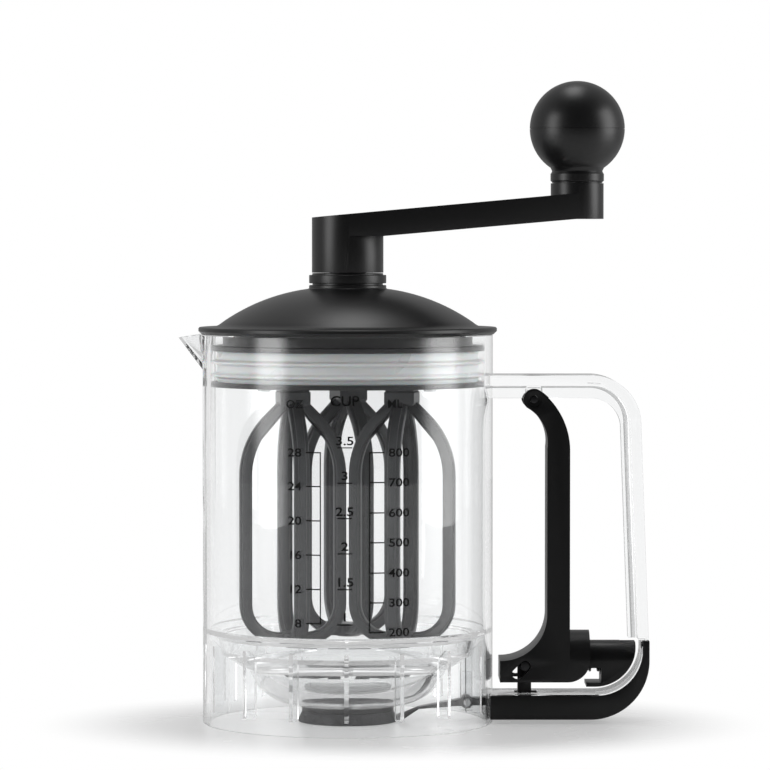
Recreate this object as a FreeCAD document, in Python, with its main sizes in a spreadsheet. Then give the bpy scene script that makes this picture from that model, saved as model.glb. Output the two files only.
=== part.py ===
import FreeCAD, Part
import math
import os

import Sketcher
from FreeCAD import Placement, Rotation, Vector

# A hand cranked mixer jar, in millimetres. The origin is on the jar's axis, on the plane that
# the jar stands on. +Z is up, the handle is at +X and the pouring lip is at -X.

SIZES = {
    # jar
    "jar_radius": 56.0,
    "jar_wall": 2.7,
    "jar_height": 149.8,
    "shoulder_level": 37.0,
    "shoulder_inset": 5.6,
    "shoulder_drop": 2.6,
    "ledge_inset": 1.3,
    "ledge_level": 28.5,
    "bowl_lap": 0.3,
    "bowl_drop": 4.3,
    "bowl_dish": 16.4,
    "floor_radius": 18.4,
    "floor_level": 10.4,
    "floor_rise": 1.8,
    "bowl_wall": 2.4,
    "pad_level": 6.6,
    "skirt_wall": 2.4,
    "skirt_rib_depth": 5.2,
    "skirt_rib_thick": 1.6,
    "skirt_rib_count": 16,
    "skirt_rib_foot": 5.5,
    # pouring lip
    "lip_run": 10.3,
    "lip_drop": 13.5,
    "lip_half_width": 12.0,
    "lip_wall": 1.8,
    "lip_tip_drop": 1.5,
    # handle and its rails
    "handle_drop": 15.6,
    "flange_thick": 4.1,
    "flange_half_width": 12.0,
    "web_half_width": 2.2,
    "web_depth_top": 5.0,
    "web_depth_back": 3.3,
    "handle_set": 0.5,
    "handle_lean": 2.1,
    "handle_corner": 18.5,
    "rail_thick": 1.7,
    "rail_top": 11.4,
    "rail_corner": 17.4,
    "rail_run": 57.2,
    "rail_step": 32.5,
    "lug_radius": 2.7,
    "lug_gap": 0.4,
    # base cover
    "cover_bottom": 1.7,
    "cover_lap": 1.2,
    "cover_corner": 22.7,
    "cover_wall": 1.1,
    "cover_floor": 1.2,
    "cover_lip": 0.4,
    # lever
    "pivot_run": 15.6,
    "pivot_drop": 9.3,
    "lever_eye": 4.15,
    "lever_set": 5.1,
    "lever_depth": 8.75,
    "lever_inset": 0.3,
    "lever_wall": 1.3,
    "lever_cheek": 2.4,
    "lever_bend_outer": 29.0,
    "lever_bend_inner": 15.5,
    "foot_bottom": 16.1,
    "toe_gap": 2.6,
    "toe_sweep": 17.6,
    "heel_run": 7.85,
    "heel_corner": 8.6,
    "seat_thick": 2.6,
    "boss_gap": 0.6,
    "spring_level": 23.6,
    "slot_run": 9.3,
    "slot_lift": 3.25,
    "slot_shift": 3.0,
    "slot_rise": 2.95,
    "slot_clearance": 0.2,
    "pin_recess": 3.1,
    "pin_recess_depth": 0.8,
    # spring housing
    "housing_radius": 7.8,
    "nose_lap": 0.9,
    "nose_length": 5.3,
    "housing_round": 15.8,
    "housing_foot": 2.9,
    "hook_gap": 0.7,
    "hook_thick": 1.4,
    "housing_gap": 2.1,
    "housing_end": 4.1,
    "spring_radius": 4.6,
    "spring_wire": 1.0,
    "spring_turns": 6,
    "spring_clearance": 1.2,
    # pins and running clearances
    "lever_pin_radius": 1.5,
    "link_pin_radius": 1.9,
    "running_gap": 0.05,
    "air_gap": 0.3,
    # rocker
    "rocker_inset": 10.0,
    "rocker_level": 7.8,
    "rocker_half_width": 3.0,
    "rocker_bar": 2.9,
    "tab_run": 8.3,
    "eye_wall": 0.7,
    "ear_gap": 0.6,
    "ear_thick": 2.6,
    # suction foot
    "cup_radius": 19.2,
    "cup_height": 4.0,
    "cup_lap": 1.4,
    "mount_bottom": 3.2,
    "cup_screw_radius": 1.4,
    # lid
    "lid_overhang": 1.6,
    "lid_rim_thick": 2.7,
    "lid_shell": 2.2,
    "lid_margin": 9.1,
    "dome_foot_rise": 1.8,
    "dome_rise": 17.5,
    "dome_curve": 75.0,
    "neck_margin": 1.1,
    "neck_rise": 1.4,
    "groove_depth": 1.3,
    "groove_height": 0.7,
    "bush_radius": 11.0,
    "bush_flange_thick": 3.2,
    "bush_drop": 2.2,
    "bush_lip": 0.6,
    # plug under the lid
    "collar_inset": 5.1,
    "collar_wall": 3.0,
    "plug_flange_drop": 4.3,
    "plug_gap": 0.5,
    "plug_flange_thick": 1.9,
    "plug_depth": 18.1,
    "cage_wall": 4.4,
    "cage_roof": 1.8,
    "retainer_thick": 1.8,
    "retainer_screw_radius": 1.1,
    "retainer_screw_lap": 1.2,
    "retainer_screw_head": 1.1,
    "retainer_screw_rise": 6.0,
    "gasket_wall": 4.4,
    "gasket_lip_depth": 2.6,
    "gasket_lip_drop": 6.2,
    "gasket_lip_pitch": 5.0,
    # gear train
    "ring_rim": 3.8,
    "ring_teeth": 48,
    "planet_teeth": 16,
    "gear_lift": 2.5,
    "gear_thick": 7.6,
    "backlash": 0.30,
    "carrier_gap": 0.5,
    "thrust_height": 1.0,
    "hub_gap": 0.725,
    "bridge_margin": 5.5,
    "bridge_gap": 0.5,
    "bridge_thick": 1.8,
    "post_radius": 3.6,
    "post_shift": 4.5,
    "spindle_radius": 4.6,
    "spindle_length": 6.3,
    # crank
    "shaft_radius": 7.0,
    "hub_radius": 13.8,
    "dog_height": 14.1,
    "dog_lean": 6.0,
    "split_reach": 0.9,
    "arm_thick": 8.4,
    "arm_rise": 5.2,
    "arm_throw": 88.5,
    "arm_tip_radius": 10.2,
    "arm_tip_lift": 6.6,
    "post_height": 13.7,
    "tang_radius": 4.0,
    "tang_shift": 4.2,
    "crank_screw_radius": 1.9,
    "crank_screw_head": 3.8,
    "crank_screw_shift": 4.6,
    "carrier_screw_head": 1.4,
    "carrier_screw_length": 8.0,
    # knob
    "knob_radius": 18.3,
    "knob_lift": 17.2,
    "knob_neck_lap": 0.1,
    "knob_gap": 0.5,
    "knob_neck_height": 3.4,
    "knob_pin_radius": 3.0,
    "knob_pin_drop": 5.0,
    # whisks
    "whisk_inset": 5.8,
    "tine_width": 6.5,
    "tine_thick": 4.6,
    "tine_drop": 29.9,
    "tine_bend": 30.0,
    "tine_top_radius": 3.0,
    "foot_flat": 2.2,
    "whisk_lift": 2.5,
    "whisk_hub": 11.6,
    "whisk_hub_gap": 0.6,
    "whisk_hub_height": 6.3,
    "whisk_button": 5.0,
    "back_whisk_turn": 22.5,
    "side_whisk_turn": 12.0,
}

# Sizes that follow from the ones above, as the sheet's own formulas.
LINKS = {
    "jar_bore": "jar_radius - jar_wall",
    "shoulder_radius": "jar_bore - shoulder_inset",
    "ledge_radius": "shoulder_radius - ledge_inset",
    "bowl_radius": "floor_radius + bowl_dish - bowl_lap",
    "bowl_level": "floor_level + floor_rise + bowl_dish - bowl_drop",
    "skirt_bore": "jar_radius - skirt_wall",
    "skirt_rib_radius": "skirt_bore - skirt_rib_depth",
    "lip_reach": "jar_radius + lip_run",
    "handle_top": "jar_height - handle_drop",
    "rail_reach": "jar_radius + rail_run",
    "handle_reach": "rail_reach - handle_set",
    "cover_reach": "rail_reach + rail_thick + cover_lap",
    "cover_top": "rail_top - cover_lip",
    "cover_half_width": "flange_half_width",
    "rail_half_width": "cover_half_width - cover_wall - air_gap",
    "lever_half_width": "flange_half_width - lever_inset",
    "lug_half_width": "lever_half_width - lever_cheek - lug_gap",
    "pivot_reach": "jar_radius + pivot_run",
    "pivot_level": "handle_top - pivot_drop",
    "lever_front": "pivot_reach + lever_set",
    "heel_reach": "lever_front + lever_depth + heel_run",
    "toe_front": "jar_radius + toe_gap",
    "slot_half_width": "link_pin_radius + slot_clearance",
    "slot_low_reach": "jar_radius + slot_run",
    "slot_low_level": "foot_bottom + slot_lift",
    "slot_high_reach": "slot_low_reach + slot_shift",
    "slot_high_level": "slot_low_level + slot_rise",
    "toe_top": "slot_high_level + slot_half_width",
    "housing_nose": "heel_reach - nose_lap",
    "housing_face": "housing_nose + nose_length",
    "housing_reach": "rail_reach - housing_gap",
    "housing_corner": "min(housing_round; housing_reach - housing_nose - housing_foot)",
    "hook_top": "foot_bottom - hook_gap",
    "hook_bottom": "hook_top - hook_thick",
    "spring_bore": "spring_radius + spring_clearance",
    "spring_bore_end": "housing_reach - housing_end",
    "rocker_reach": "jar_radius - rocker_inset",
    "rocker_tip": "cup_radius + tab_run",
    "rocker_eye": "link_pin_radius + eye_wall",
    "mount_radius": "cup_radius - cup_lap",
    "lid_radius": "jar_radius + lid_overhang",
    "lid_top": "jar_height + lid_rim_thick",
    "neck_radius": "hub_radius + neck_margin",
    "groove_radius": "neck_radius - groove_depth",
    "dome_foot_radius": "lid_radius - lid_margin",
    "dome_foot_level": "lid_top + dome_foot_rise",
    "dome_head_radius": "neck_radius + air_gap",
    "dome_top_level": "jar_height + dome_rise",
    "dome_span": "dome_foot_radius - dome_head_radius",
    "dome_climb": "dome_top_level - dome_foot_level",
    "dome_slant": "sqrt(4 * dome_curve ^ 2 / (dome_span ^ 2 + dome_climb ^ 2) - 1)",
    "dome_middle_reach": "(dome_foot_radius + dome_head_radius - dome_climb * dome_slant) / 2",
    "dome_middle_level": "(dome_foot_level + dome_top_level - dome_span * dome_slant) / 2",
    "dome_foot_turn": "acos((dome_foot_radius - dome_middle_reach) / dome_curve) / 1deg",
    "dome_head_turn": "acos((dome_head_radius - dome_middle_reach) / dome_curve) / 1deg",
    "neck_level": "dome_top_level + neck_rise",
    "bush_flange_level": "neck_level + groove_height",
    "bush_bottom": "jar_height - bush_drop",
    "bush_top": "bush_flange_level + bush_flange_thick + bush_lip",
    "collar_radius": "jar_bore - collar_inset",
    "upper_flange_top": "jar_height - plug_flange_drop",
    "plug_flange_radius": "jar_bore - plug_gap",
    "gasket_lip_radius": "jar_bore - air_gap",
    "gasket_radius": "gasket_lip_radius - gasket_lip_depth",
    "cage_radius": "gasket_radius - gasket_wall",
    "cage_bore": "cage_radius - cage_wall",
    "retainer_top": "jar_height - plug_depth",
    "retainer_bottom": "retainer_top - retainer_thick",
    "gasket_lip_high": "upper_flange_top - gasket_lip_drop",
    "gasket_lip_low": "gasket_lip_high - gasket_lip_pitch",
    "module": "(cage_bore - ring_rim) / (ring_teeth / 2 + 1.2)",
    "whisk_circle": "module * (ring_teeth - planet_teeth) / 2",
    "gear_bottom": "retainer_top + gear_lift",
    "carrier_top": "gear_bottom - thrust_height",
    "carrier_radius": "cage_bore - carrier_gap",
    "carrier_hub": "whisk_circle - module * (planet_teeth / 2 + 0.85) - hub_gap",
    "bridge_bottom": "gear_bottom + gear_thick + bridge_gap",
    "post_circle": "whisk_circle + post_shift",
    "bridge_radius": "post_circle + bridge_margin",
    "spindle_bottom": "retainer_bottom - spindle_length",
    "hub_bottom": "bush_top + air_gap",
    "dog_top": "hub_bottom + dog_height",
    "arm_top": "dog_top + arm_thick",
    "arm_tip_bottom": "dog_top + arm_tip_lift",
    "post_top": "arm_tip_bottom + post_height",
    "knob_neck_radius": "arm_tip_radius + knob_neck_lap",
    "knob_neck_bottom": "post_top + knob_gap",
    "knob_neck_top": "knob_neck_bottom + knob_neck_height",
    "knob_centre": "knob_neck_top + knob_lift",
    "knob_pin_top": "knob_centre - knob_pin_drop",
    "whisk_radius": "whisk_circle - whisk_inset",
    "whisk_bottom": "ledge_level + whisk_lift",
    "whisk_hub_top": "retainer_bottom - whisk_hub_gap",
    "whisk_hub_bottom": "whisk_hub_top - whisk_hub_height",
    "tine_level": "whisk_hub_top - tine_drop",
    "tine_foot_bend": "whisk_radius - tine_top_radius - foot_flat",
}


class Size:
    """A length or angle that carries the sheet expression it comes from."""

    def __init__(self, value, text):
        self.value = float(value)
        self.text = text

    def __float__(self):
        return self.value

    def _join(self, other, sign, value):
        return Size(value, f"({self.text} {sign} {text_of(other)})")

    def __add__(self, other):
        return self._join(other, "+", self.value + float(other))

    def __sub__(self, other):
        return self._join(other, "-", self.value - float(other))

    def __mul__(self, other):
        return self._join(other, "*", self.value * float(other))

    def __truediv__(self, other):
        return self._join(other, "/", self.value / float(other))

    def __radd__(self, other):
        return plain(other) + self

    def __rsub__(self, other):
        return plain(other) - self

    def __rmul__(self, other):
        return plain(other) * self

    def __neg__(self):
        return Size(-self.value, f"(-{self.text})")


def text_of(number):
    """The expression text of a Size or of a plain number."""
    return number.text if isinstance(number, Size) else f"{number:.9g}"


def plain(number):
    return Size(number, f"{number:.9g}")


def sin(angle):
    return Size(math.sin(math.radians(float(angle))), f"sin({text_of(angle)} * 1deg)")


def cos(angle):
    return Size(math.cos(math.radians(float(angle))), f"cos({text_of(angle)} * 1deg)")


def tan(angle):
    return Size(math.tan(math.radians(float(angle))), f"tan({text_of(angle)} * 1deg)")


doc = FreeCAD.newDocument("MixerJar")
sheet = doc.addObject("Spreadsheet::Sheet", "Sizes")
for row, (alias, number) in enumerate(SIZES.items(), start=1):
    sheet.set(f"A{row}", alias)
    sheet.set(f"B{row}", str(number))
    sheet.setAlias(f"B{row}", alias)
for row, (alias, formula) in enumerate(LINKS.items(), start=len(SIZES) + 1):
    sheet.set(f"A{row}", alias)
    sheet.set(f"B{row}", f"={formula}")
    sheet.setAlias(f"B{row}", alias)
doc.recompute()


def size(alias):
    """The named cell of the sheet."""
    return Size(sheet.get(alias), f"Sizes.{alias}")


NODES = []


def bind(feature, path, value):
    """Ties a property to the sheet, or sets it where the value is a plain number."""
    if isinstance(value, Size):
        feature.setExpression(path, value.text)
    else:
        setattr(feature, path, value)


def place(feature, reach=0, side=0, level=0, turn=0):
    """Ties where a finished piece stands, and its turn about +Z, to the sheet."""
    feature.Placement = Placement(
        Vector(float(reach), float(side), float(level)), Rotation(Vector(0, 0, 1), float(turn))
    )
    for path, value in (("x", reach), ("y", side), ("z", level)):
        if isinstance(value, Size):
            feature.setExpression(f"Placement.Base.{path}", value.text)
    if isinstance(turn, Size):
        feature.setExpression("Placement.Rotation.Angle", f"{turn.text} * 1deg")


def node(feature, label):
    """Marks an object as one finished piece of the jar."""
    feature.Label = label
    NODES.append(feature)
    return feature


# Outlines: closed loops of straight and round edges in a sketch plane.


class Outline:
    """A closed loop, walked point by point with straight lines and arcs."""

    def __init__(self, across, up):
        self.points = [(across, up)]
        self.edges = []

    def line(self, across, up):
        self.points.append((across, up))
        self.edges.append(None)
        return self

    def arc(self, across, up, radius, turn):
        """An arc to the next point. turn is 1 to the left of the walk, or -1 to the right."""
        self.points.append((across, up))
        self.edges.append((radius, turn))
        return self

    def bend(self, centre, radius, start, end, steps):
        """Short straight runs that follow an arc about a centre, between two angles."""
        for step in range(1, steps + 1):
            turn = start + (end - start) * step / steps
            self.line(centre[0] + radius * cos(turn), centre[1] + radius * sin(turn))
        return self

    def close(self):
        self.edges.append(None)
        return self

    def close_arc(self, radius, turn):
        self.edges.append((radius, turn))
        return self


def arc_shape(start, end, radius, turn):
    """The short arc between two points, and whether it runs against the clock."""
    chord = end - start
    half = chord.Length / 2
    rise = math.sqrt(max(radius * radius - half * half, 0))
    left = Vector(-chord.y, chord.x, 0).normalize()
    centre = start + chord * 0.5 + left * (rise * turn)
    first, last = (start, end) if turn > 0 else (end, start)
    angles = [math.atan2(p.y - centre.y, p.x - centre.x) for p in (first, last)]
    if angles[1] < angles[0]:
        angles[1] += 2 * math.pi
    circle = Part.Circle(centre, Vector(0, 0, 1), radius)
    return Part.ArcOfCircle(circle, *angles), turn > 0


def draw(sketch, outline):
    """Adds an outline to a sketch and ties each of its points and radii to the sheet."""
    count = len(outline.points)
    flat = [Vector(float(a), float(u), 0) for a, u in outline.points]
    ends = []
    for index, edge in enumerate(outline.edges):
        start, end = flat[index], flat[(index + 1) % count]
        if edge is None:
            ends.append((sketch.addGeometry(Part.LineSegment(start, end), False), 1, 2))
            continue
        radius, turn = edge
        arc, forward = arc_shape(start, end, float(radius), turn)
        item = sketch.addGeometry(arc, False)
        ends.append((item, 1, 2) if forward else (item, 2, 1))
        rule = sketch.addConstraint(Sketcher.Constraint("Radius", item, float(radius)))
        if isinstance(radius, Size):
            sketch.setExpression(f"Constraints[{rule}]", radius.text)
    for index in range(len(ends)):
        here, after = ends[index], ends[(index + 1) % len(ends)]
        sketch.addConstraint(Sketcher.Constraint("Coincident", here[0], here[2], after[0], after[1]))
    for index, (across, up) in enumerate(outline.points):
        pin_point(sketch, ends[index][0], ends[index][1], across, up)


def pin_point(sketch, item, spot, across, up):
    """Holds one point of a sketch at its place."""
    for kind, axis, value in (("DistanceX", -2, across), ("DistanceY", -1, up)):
        if float(value) == 0:
            sketch.addConstraint(Sketcher.Constraint("PointOnObject", item, spot, axis))
            continue
        rule = sketch.addConstraint(Sketcher.Constraint(kind, -1, 1, item, spot, float(value)))
        if isinstance(value, Size):
            sketch.setExpression(f"Constraints[{rule}]", value.text)


def ring(sketch, across, up, radius):
    """A full circle in a sketch."""
    centre = Vector(float(across), float(up), 0)
    item = sketch.addGeometry(Part.Circle(centre, Vector(0, 0, 1), float(radius)), False)
    rule = sketch.addConstraint(Sketcher.Constraint("Radius", item, float(radius)))
    if isinstance(radius, Size):
        sketch.setExpression(f"Constraints[{rule}]", radius.text)
    if float(across) == 0 and float(up) == 0:
        sketch.addConstraint(Sketcher.Constraint("Coincident", item, 3, -1, 1))
    else:
        pin_point(sketch, item, 3, across, up)


# Features of a body. "side" is the plane along the handle (X across, Z up), "plan" is the plane
# seen from above, and "front" is the plane across the handle (Y across, Z up).

PLANES = {"plan": "XY_Plane", "side": "XZ_Plane", "front": "YZ_Plane"}


def new_body(label):
    body = doc.addObject("PartDesign::Body", label)
    return node(body, label)


def new_sketch(body, view, offset=0):
    """A sketch on one of the body's own origin planes, or at an offset from it."""
    plane = next(f for f in body.Origin.OriginFeatures if f.Role == PLANES[view])
    sketch = body.newObject("Sketcher::SketchObject", f"{body.Label}_{view}")
    sketch.AttachmentSupport = (plane, "")
    sketch.MapMode = "FlatFace"
    sketch.AttachmentOffset = Placement(Vector(0, 0, float(offset)), Rotation())
    if isinstance(offset, Size):
        sketch.setExpression("AttachmentOffset.Base.z", offset.text)
    return sketch


def feature(body, kind, name):
    made = body.newObject(f"PartDesign::{kind}", f"{body.Label}_{name}")
    made.Refine = False
    return made


def revolve(body, outline, name="turned"):
    """Turns an outline of the side plane about the body's upright axis."""
    sketch = new_sketch(body, "side")
    draw(sketch, outline)
    made = feature(body, "Revolution", name)
    made.Profile = sketch
    made.ReferenceAxis = (sketch, ["V_Axis"])
    made.Angle = 360
    return made


def pad(body, sketch, depth, name, middle=False):
    made = feature(body, "Pad", name)
    made.Profile = sketch
    made.SideType = "Symmetric" if middle else "One side"
    bind(made, "Length", depth)
    return made


def pocket(body, sketch, depth, name, middle=False, flip=False):
    """Cuts a sketch out of the body. flip cuts towards the plane's positive side."""
    made = feature(body, "Pocket", name)
    made.Profile = sketch
    made.SideType = "Symmetric" if middle else "One side"
    made.Reversed = flip
    bind(made, "Length", depth)
    return made


def polar(body, originals, count, name="pattern"):
    """Repeats features evenly about the body's upright axis."""
    axis = next(f for f in body.Origin.OriginFeatures if f.Role == "Z_Axis")
    made = feature(body, "PolarPattern", name)
    made.Originals = originals
    made.Axis = (axis, [""])
    made.Angle = 360
    bind(made, "Occurrences", count)
    body.Tip = made
    return made


def side_slab(body, outline, half_width, name):
    """Pads an outline of the side plane to both sides of it."""
    sketch = new_sketch(body, "side")
    draw(sketch, outline)
    return pad(body, sketch, half_width * 2, name, middle=True)


def side_cut(body, outline, half_width, name):
    sketch = new_sketch(body, "side")
    draw(sketch, outline)
    return pocket(body, sketch, half_width * 2, name, middle=True)


def side_bore(body, reach, level, radius, half_width, name):
    """A round hole across the handle."""
    sketch = new_sketch(body, "side")
    ring(sketch, reach, level, radius)
    return pocket(body, sketch, half_width * 2, name, middle=True)


def plan_bores(body, spots, radius, top, depth, name):
    """Round upright holes, cut down from a level."""
    sketch = new_sketch(body, "plan", top)
    for across, up in spots:
        ring(sketch, across, up, radius)
    return pocket(body, sketch, depth, name)


def box_outline(left, bottom, right, top):
    return Outline(left, bottom).line(right, bottom).line(right, top).line(left, top).close()


def circle_spots(radius, count, start=0.0):
    """Points evenly round a circle."""
    turns = [start + 360.0 * index / count for index in range(count)]
    return [(radius * cos(turn), radius * sin(turn)) for turn in turns]


gap = size("air_gap")
run = size("running_gap")

# ---------------------------------------------------------------- jar

jar_radius = size("jar_radius")
jar_bore = size("jar_bore")
rim = size("jar_height")
bowl_wall = size("bowl_wall")
skirt_bore = size("skirt_bore")


def jar_section():
    """Half section of the jar: straight wall, stepped bowl inside, open skirt below."""
    shoulder = size("shoulder_level")
    ledge_radius, ledge = size("ledge_radius"), size("ledge_level")
    bowl_radius, bowl = size("bowl_radius"), size("bowl_level")
    floor_radius, floor = size("floor_radius"), size("floor_level")
    rise = size("floor_rise")
    section = Outline(jar_radius, plain(0)).line(jar_radius, rim).line(jar_bore, rim)
    section.line(jar_bore, shoulder)
    section.line(size("shoulder_radius"), shoulder - size("shoulder_drop"))
    section.line(ledge_radius, ledge)
    section.line(bowl_radius, bowl)
    dish = size("bowl_dish")
    section.bend((floor_radius, floor + rise + dish), dish, -14, -90, 4)
    section.line(plain(0), floor)
    section.line(plain(0), size("pad_level"))
    section.line(floor_radius, size("pad_level"))
    under = dish + (floor + rise - size("pad_level"))
    section.bend((floor_radius, floor + rise + dish), under, -90, -22, 3)
    section.line(ledge_radius + bowl_wall, ledge - bowl_wall * 0.75)
    section.line(size("shoulder_radius") + bowl_wall, shoulder - size("shoulder_drop") - bowl_wall * 0.6)
    section.line(skirt_bore, shoulder - bowl_wall * 0.8)
    section.line(skirt_bore, plain(0))
    return section.close()


jar = new_body("jar")
revolve(jar, jar_section(), "wall")
rib_foot = size("skirt_rib_foot")
rib_inner = size("skirt_rib_radius")
ledge_under = size("ledge_level") - bowl_wall * 0.3
rib_outline = Outline(skirt_bore + 0.8, rib_foot).line(skirt_bore + 0.8, ledge_under + 4)
rib_outline.line(rib_inner, ledge_under).line(rib_inner, rib_foot).close()
first_rib = side_slab(jar, rib_outline, size("skirt_rib_thick") / 2, "rib")
polar(jar, [first_rib], size("skirt_rib_count"), "ribs")

rocker_reach, rocker_level = size("rocker_reach"), size("rocker_level")
ear_inner = size("rocker_half_width") + size("ear_gap")
ear_outer = ear_inner + size("ear_thick")
ear_half = size("rocker_eye") + 0.4
side_cut(jar, box_outline(rocker_reach + ear_half, plain(3.0), jar_radius + 1, size("cover_top") - 0.6),
         ear_inner, "rocker_window")
ear_outline = Outline(rocker_reach - ear_half, rocker_level - ear_half)
ear_outline.line(rocker_reach + ear_half * 0.7, rocker_level - ear_half)
ear_outline.line(rocker_reach + ear_half * 0.7, size("ledge_level"))
ear_outline.line(size("ledge_radius") - 1, size("ledge_level") - bowl_wall * 0.6)
ear_outline.line(rocker_reach - ear_half, size("bowl_level") + bowl_wall * 0.2).close()
side_slab(jar, ear_outline, ear_outer, "ears")
side_cut(jar, box_outline(rocker_reach - ear_half - 1, plain(3.0), rocker_reach + ear_half + 0.5,
                          size("bowl_level") - bowl_wall * 2), ear_inner, "ear_gap")
side_bore(jar, rocker_reach, rocker_level, size("lever_pin_radius"), ear_outer + 1, "ear_bore")
plan_bores(jar, [(plain(0), plain(0))], size("cup_screw_radius"), size("floor_level") - 1.0,
           size("floor_level") - 1.0 - size("pad_level") + 1, "cup_pilot")


def lip_outline(inset, reach_back):
    """The lip seen from above: a rounded V that points away from the handle."""
    reach = size("lip_reach") - inset * 2.0
    half = size("lip_half_width") - inset
    return Outline(-reach, plain(0.6)).arc(-reach, plain(-0.6), plain(0.7), 1) \
        .line(-reach_back, -half).line(-reach_back, half).close()


def lip_foot(inset, reach_back):
    """The lip's lower end, where it runs out into the wall."""
    point = jar_radius + 0.2 - inset
    return Outline(-point, plain(0.6)).arc(-point, plain(-0.6), plain(0.7), 1) \
        .line(-reach_back, plain(-1.2)).line(-reach_back, plain(1.2)).close()


def lip_loft(kind, name, inset, back, foot_level, top_level):
    """A loft between the lip's mouth and its foot."""
    mouth = new_sketch(jar, "plan", top_level)
    draw(mouth, lip_outline(inset, back))
    foot = new_sketch(jar, "plan", foot_level)
    draw(foot, lip_foot(inset, back))
    made = feature(jar, kind, name)
    made.Profile = mouth
    made.Sections = [foot]
    made.Ruled = True
    return made


lip_wall = size("lip_wall")
lip_loft("AdditiveLoft", "lip", plain(0), jar_radius - 2.2, rim - size("lip_drop"), rim)
lip_loft("SubtractiveLoft", "lip_channel", lip_wall / 2, jar_bore - 1.5,
         rim - size("lip_drop") + lip_wall * 1.4, rim + 0.01)
lip_slope = Outline(-size("lip_reach") - 1, rim - size("lip_tip_drop"))
lip_slope.line(-jar_radius - 1.0, rim + 0.05).line(-jar_radius - 1.0, rim + 3)
lip_slope.line(-size("lip_reach") - 1, rim + 3)
side_cut(jar, lip_slope.close(), size("lip_half_width"), "lip_slope")

# ---------------------------------------------------------------- handle moulding

lean = size("handle_lean")
handle_top, flange = size("handle_top"), size("flange_thick")
corner = size("handle_corner")
rail_top, rail = size("rail_top"), size("rail_thick")
rail_bend, rail_reach = size("rail_corner"), size("rail_reach")
rail_step = size("rail_step")
back_level = handle_top - corner - 1
foot_reach = size("handle_reach") + (back_level - rail_step) * tan(lean)


def handle_line(depth):
    """The bent rear line of the handle at a depth in from its outer face."""
    bend = corner - depth
    reach = size("handle_reach") - depth
    turn = (reach - bend, handle_top - depth)
    back = (reach, back_level)
    foot = (foot_reach - depth, rail_step)
    return (handle_root, handle_top - depth), turn, back, foot, bend + 0.5


handle = new_body("handle")
handle_root = jar_radius - 6
rail_out = rail_bend + rail
rail_centre_reach = rail_reach - rail_bend
rail_centre_level = rail_top + rail_bend
root_out, turn_out, back_out, foot_out, bend_out = handle_line(plain(0))
root_in, turn_in, back_in, foot_in, bend_in = handle_line(flange)
upper = Outline(*root_out).line(*turn_out).arc(*back_out, bend_out, -1).line(*foot_out)
upper.line(*foot_in).line(*back_in).arc(*turn_in, bend_in, 1).line(*root_in)
side_slab(handle, upper.close(), size("flange_half_width"), "flange")
rail_head = rail_step + 3
lower = Outline(rail_reach + rail, rail_head).line(rail_reach + rail, rail_centre_level)
lower.arc(rail_centre_reach, rail_top - rail, rail_out, -1).line(handle_root, rail_top - rail)
lower.line(handle_root, rail_top).line(rail_centre_reach, rail_top)
lower.arc(rail_reach, rail_centre_level, rail_bend, 1).line(rail_reach, rail_head)
side_slab(handle, lower.close(), size("rail_half_width"), "rail")
web_top = handle_top - flange - size("web_depth_top")
web_in = size("handle_reach") - flange - size("web_depth_back")
web_bend = corner - flange - size("web_depth_back")
web_foot = web_in + (back_level - rail_step) * tan(lean)
web = Outline(handle_root, handle_top - flange + 1).line(turn_in[0], handle_top - flange + 1)
web.arc(back_in[0] + 1, back_in[1], bend_in + 1, -1).line(foot_in[0] + 1, rail_step)
web.line(web_foot, rail_step).line(web_in, back_level).arc(turn_in[0], web_top, web_bend + 0.5, 1)
web.line(handle_root, web_top)
side_slab(handle, web.close(), size("web_half_width"), "web")
pivot_reach, pivot_level = size("pivot_reach"), size("pivot_level")
lug = size("lug_radius")
lug_outline = Outline(pivot_reach - lug, handle_top - flange + 0.5).line(pivot_reach - lug, pivot_level)
lug_outline.arc(pivot_reach, pivot_level - lug, lug, 1).arc(pivot_reach + lug, pivot_level, lug, 1)
lug_outline.line(pivot_reach + lug, handle_top - flange + 0.5)
side_slab(handle, lug_outline.close(), size("lug_half_width"), "lug")
side_bore(handle, pivot_reach, pivot_level, size("lever_pin_radius"), size("lug_half_width") + 1, "lug_bore")
tab_gap = 1.2
side_cut(handle, box_outline(size("slot_high_reach") - size("rocker_eye") - tab_gap, rail_top - rail - 1,
                             size("slot_high_reach") + size("rocker_eye") + tab_gap + 1.2, rail_top + 1),
         size("rocker_half_width") + 1, "rail_window")
wall_sketch = new_sketch(handle, "plan", plain(0))
ring(wall_sketch, 0, 0, jar_radius)
pocket(handle, wall_sketch, handle_top + 1, "wall_cope", flip=True)

# ---------------------------------------------------------------- base cover


def cover_line(inset):
    """Outer side outline of the base cover, set in by a wall, from the jar to its rear top."""
    bottom = size("cover_bottom") + inset
    reach = size("cover_reach") - inset
    bend = size("cover_corner") - inset
    line = Outline(handle_root, bottom).line(reach - bend, bottom)
    return line.arc(reach, bottom + bend, bend, 1)


base_cover = new_body("base_cover")
cover_end = rail_step - 0.4
shell = cover_line(plain(0)).line(size("cover_reach"), cover_end).line(rail_reach + 0.3, cover_end)
shell.line(rail_reach + 0.3, size("cover_top") + rail_bend + 0.3)
shell.arc(rail_centre_reach, size("cover_top"), rail_bend + 0.3, -1).line(handle_root, size("cover_top"))
side_slab(base_cover, shell.close(), size("cover_half_width"), "shell")
trough = cover_line(size("cover_floor")).line(size("cover_reach") - size("cover_floor"), cover_end + 1)
trough.line(handle_root, cover_end + 1)
side_cut(base_cover, trough.close(), size("cover_half_width") - size("cover_wall"), "trough")
cope = new_sketch(base_cover, "plan", plain(0))
ring(cope, 0, 0, jar_radius)
pocket(base_cover, cope, cover_end, "wall_cope", flip=True)

# ---------------------------------------------------------------- rocker and its pins

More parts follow.
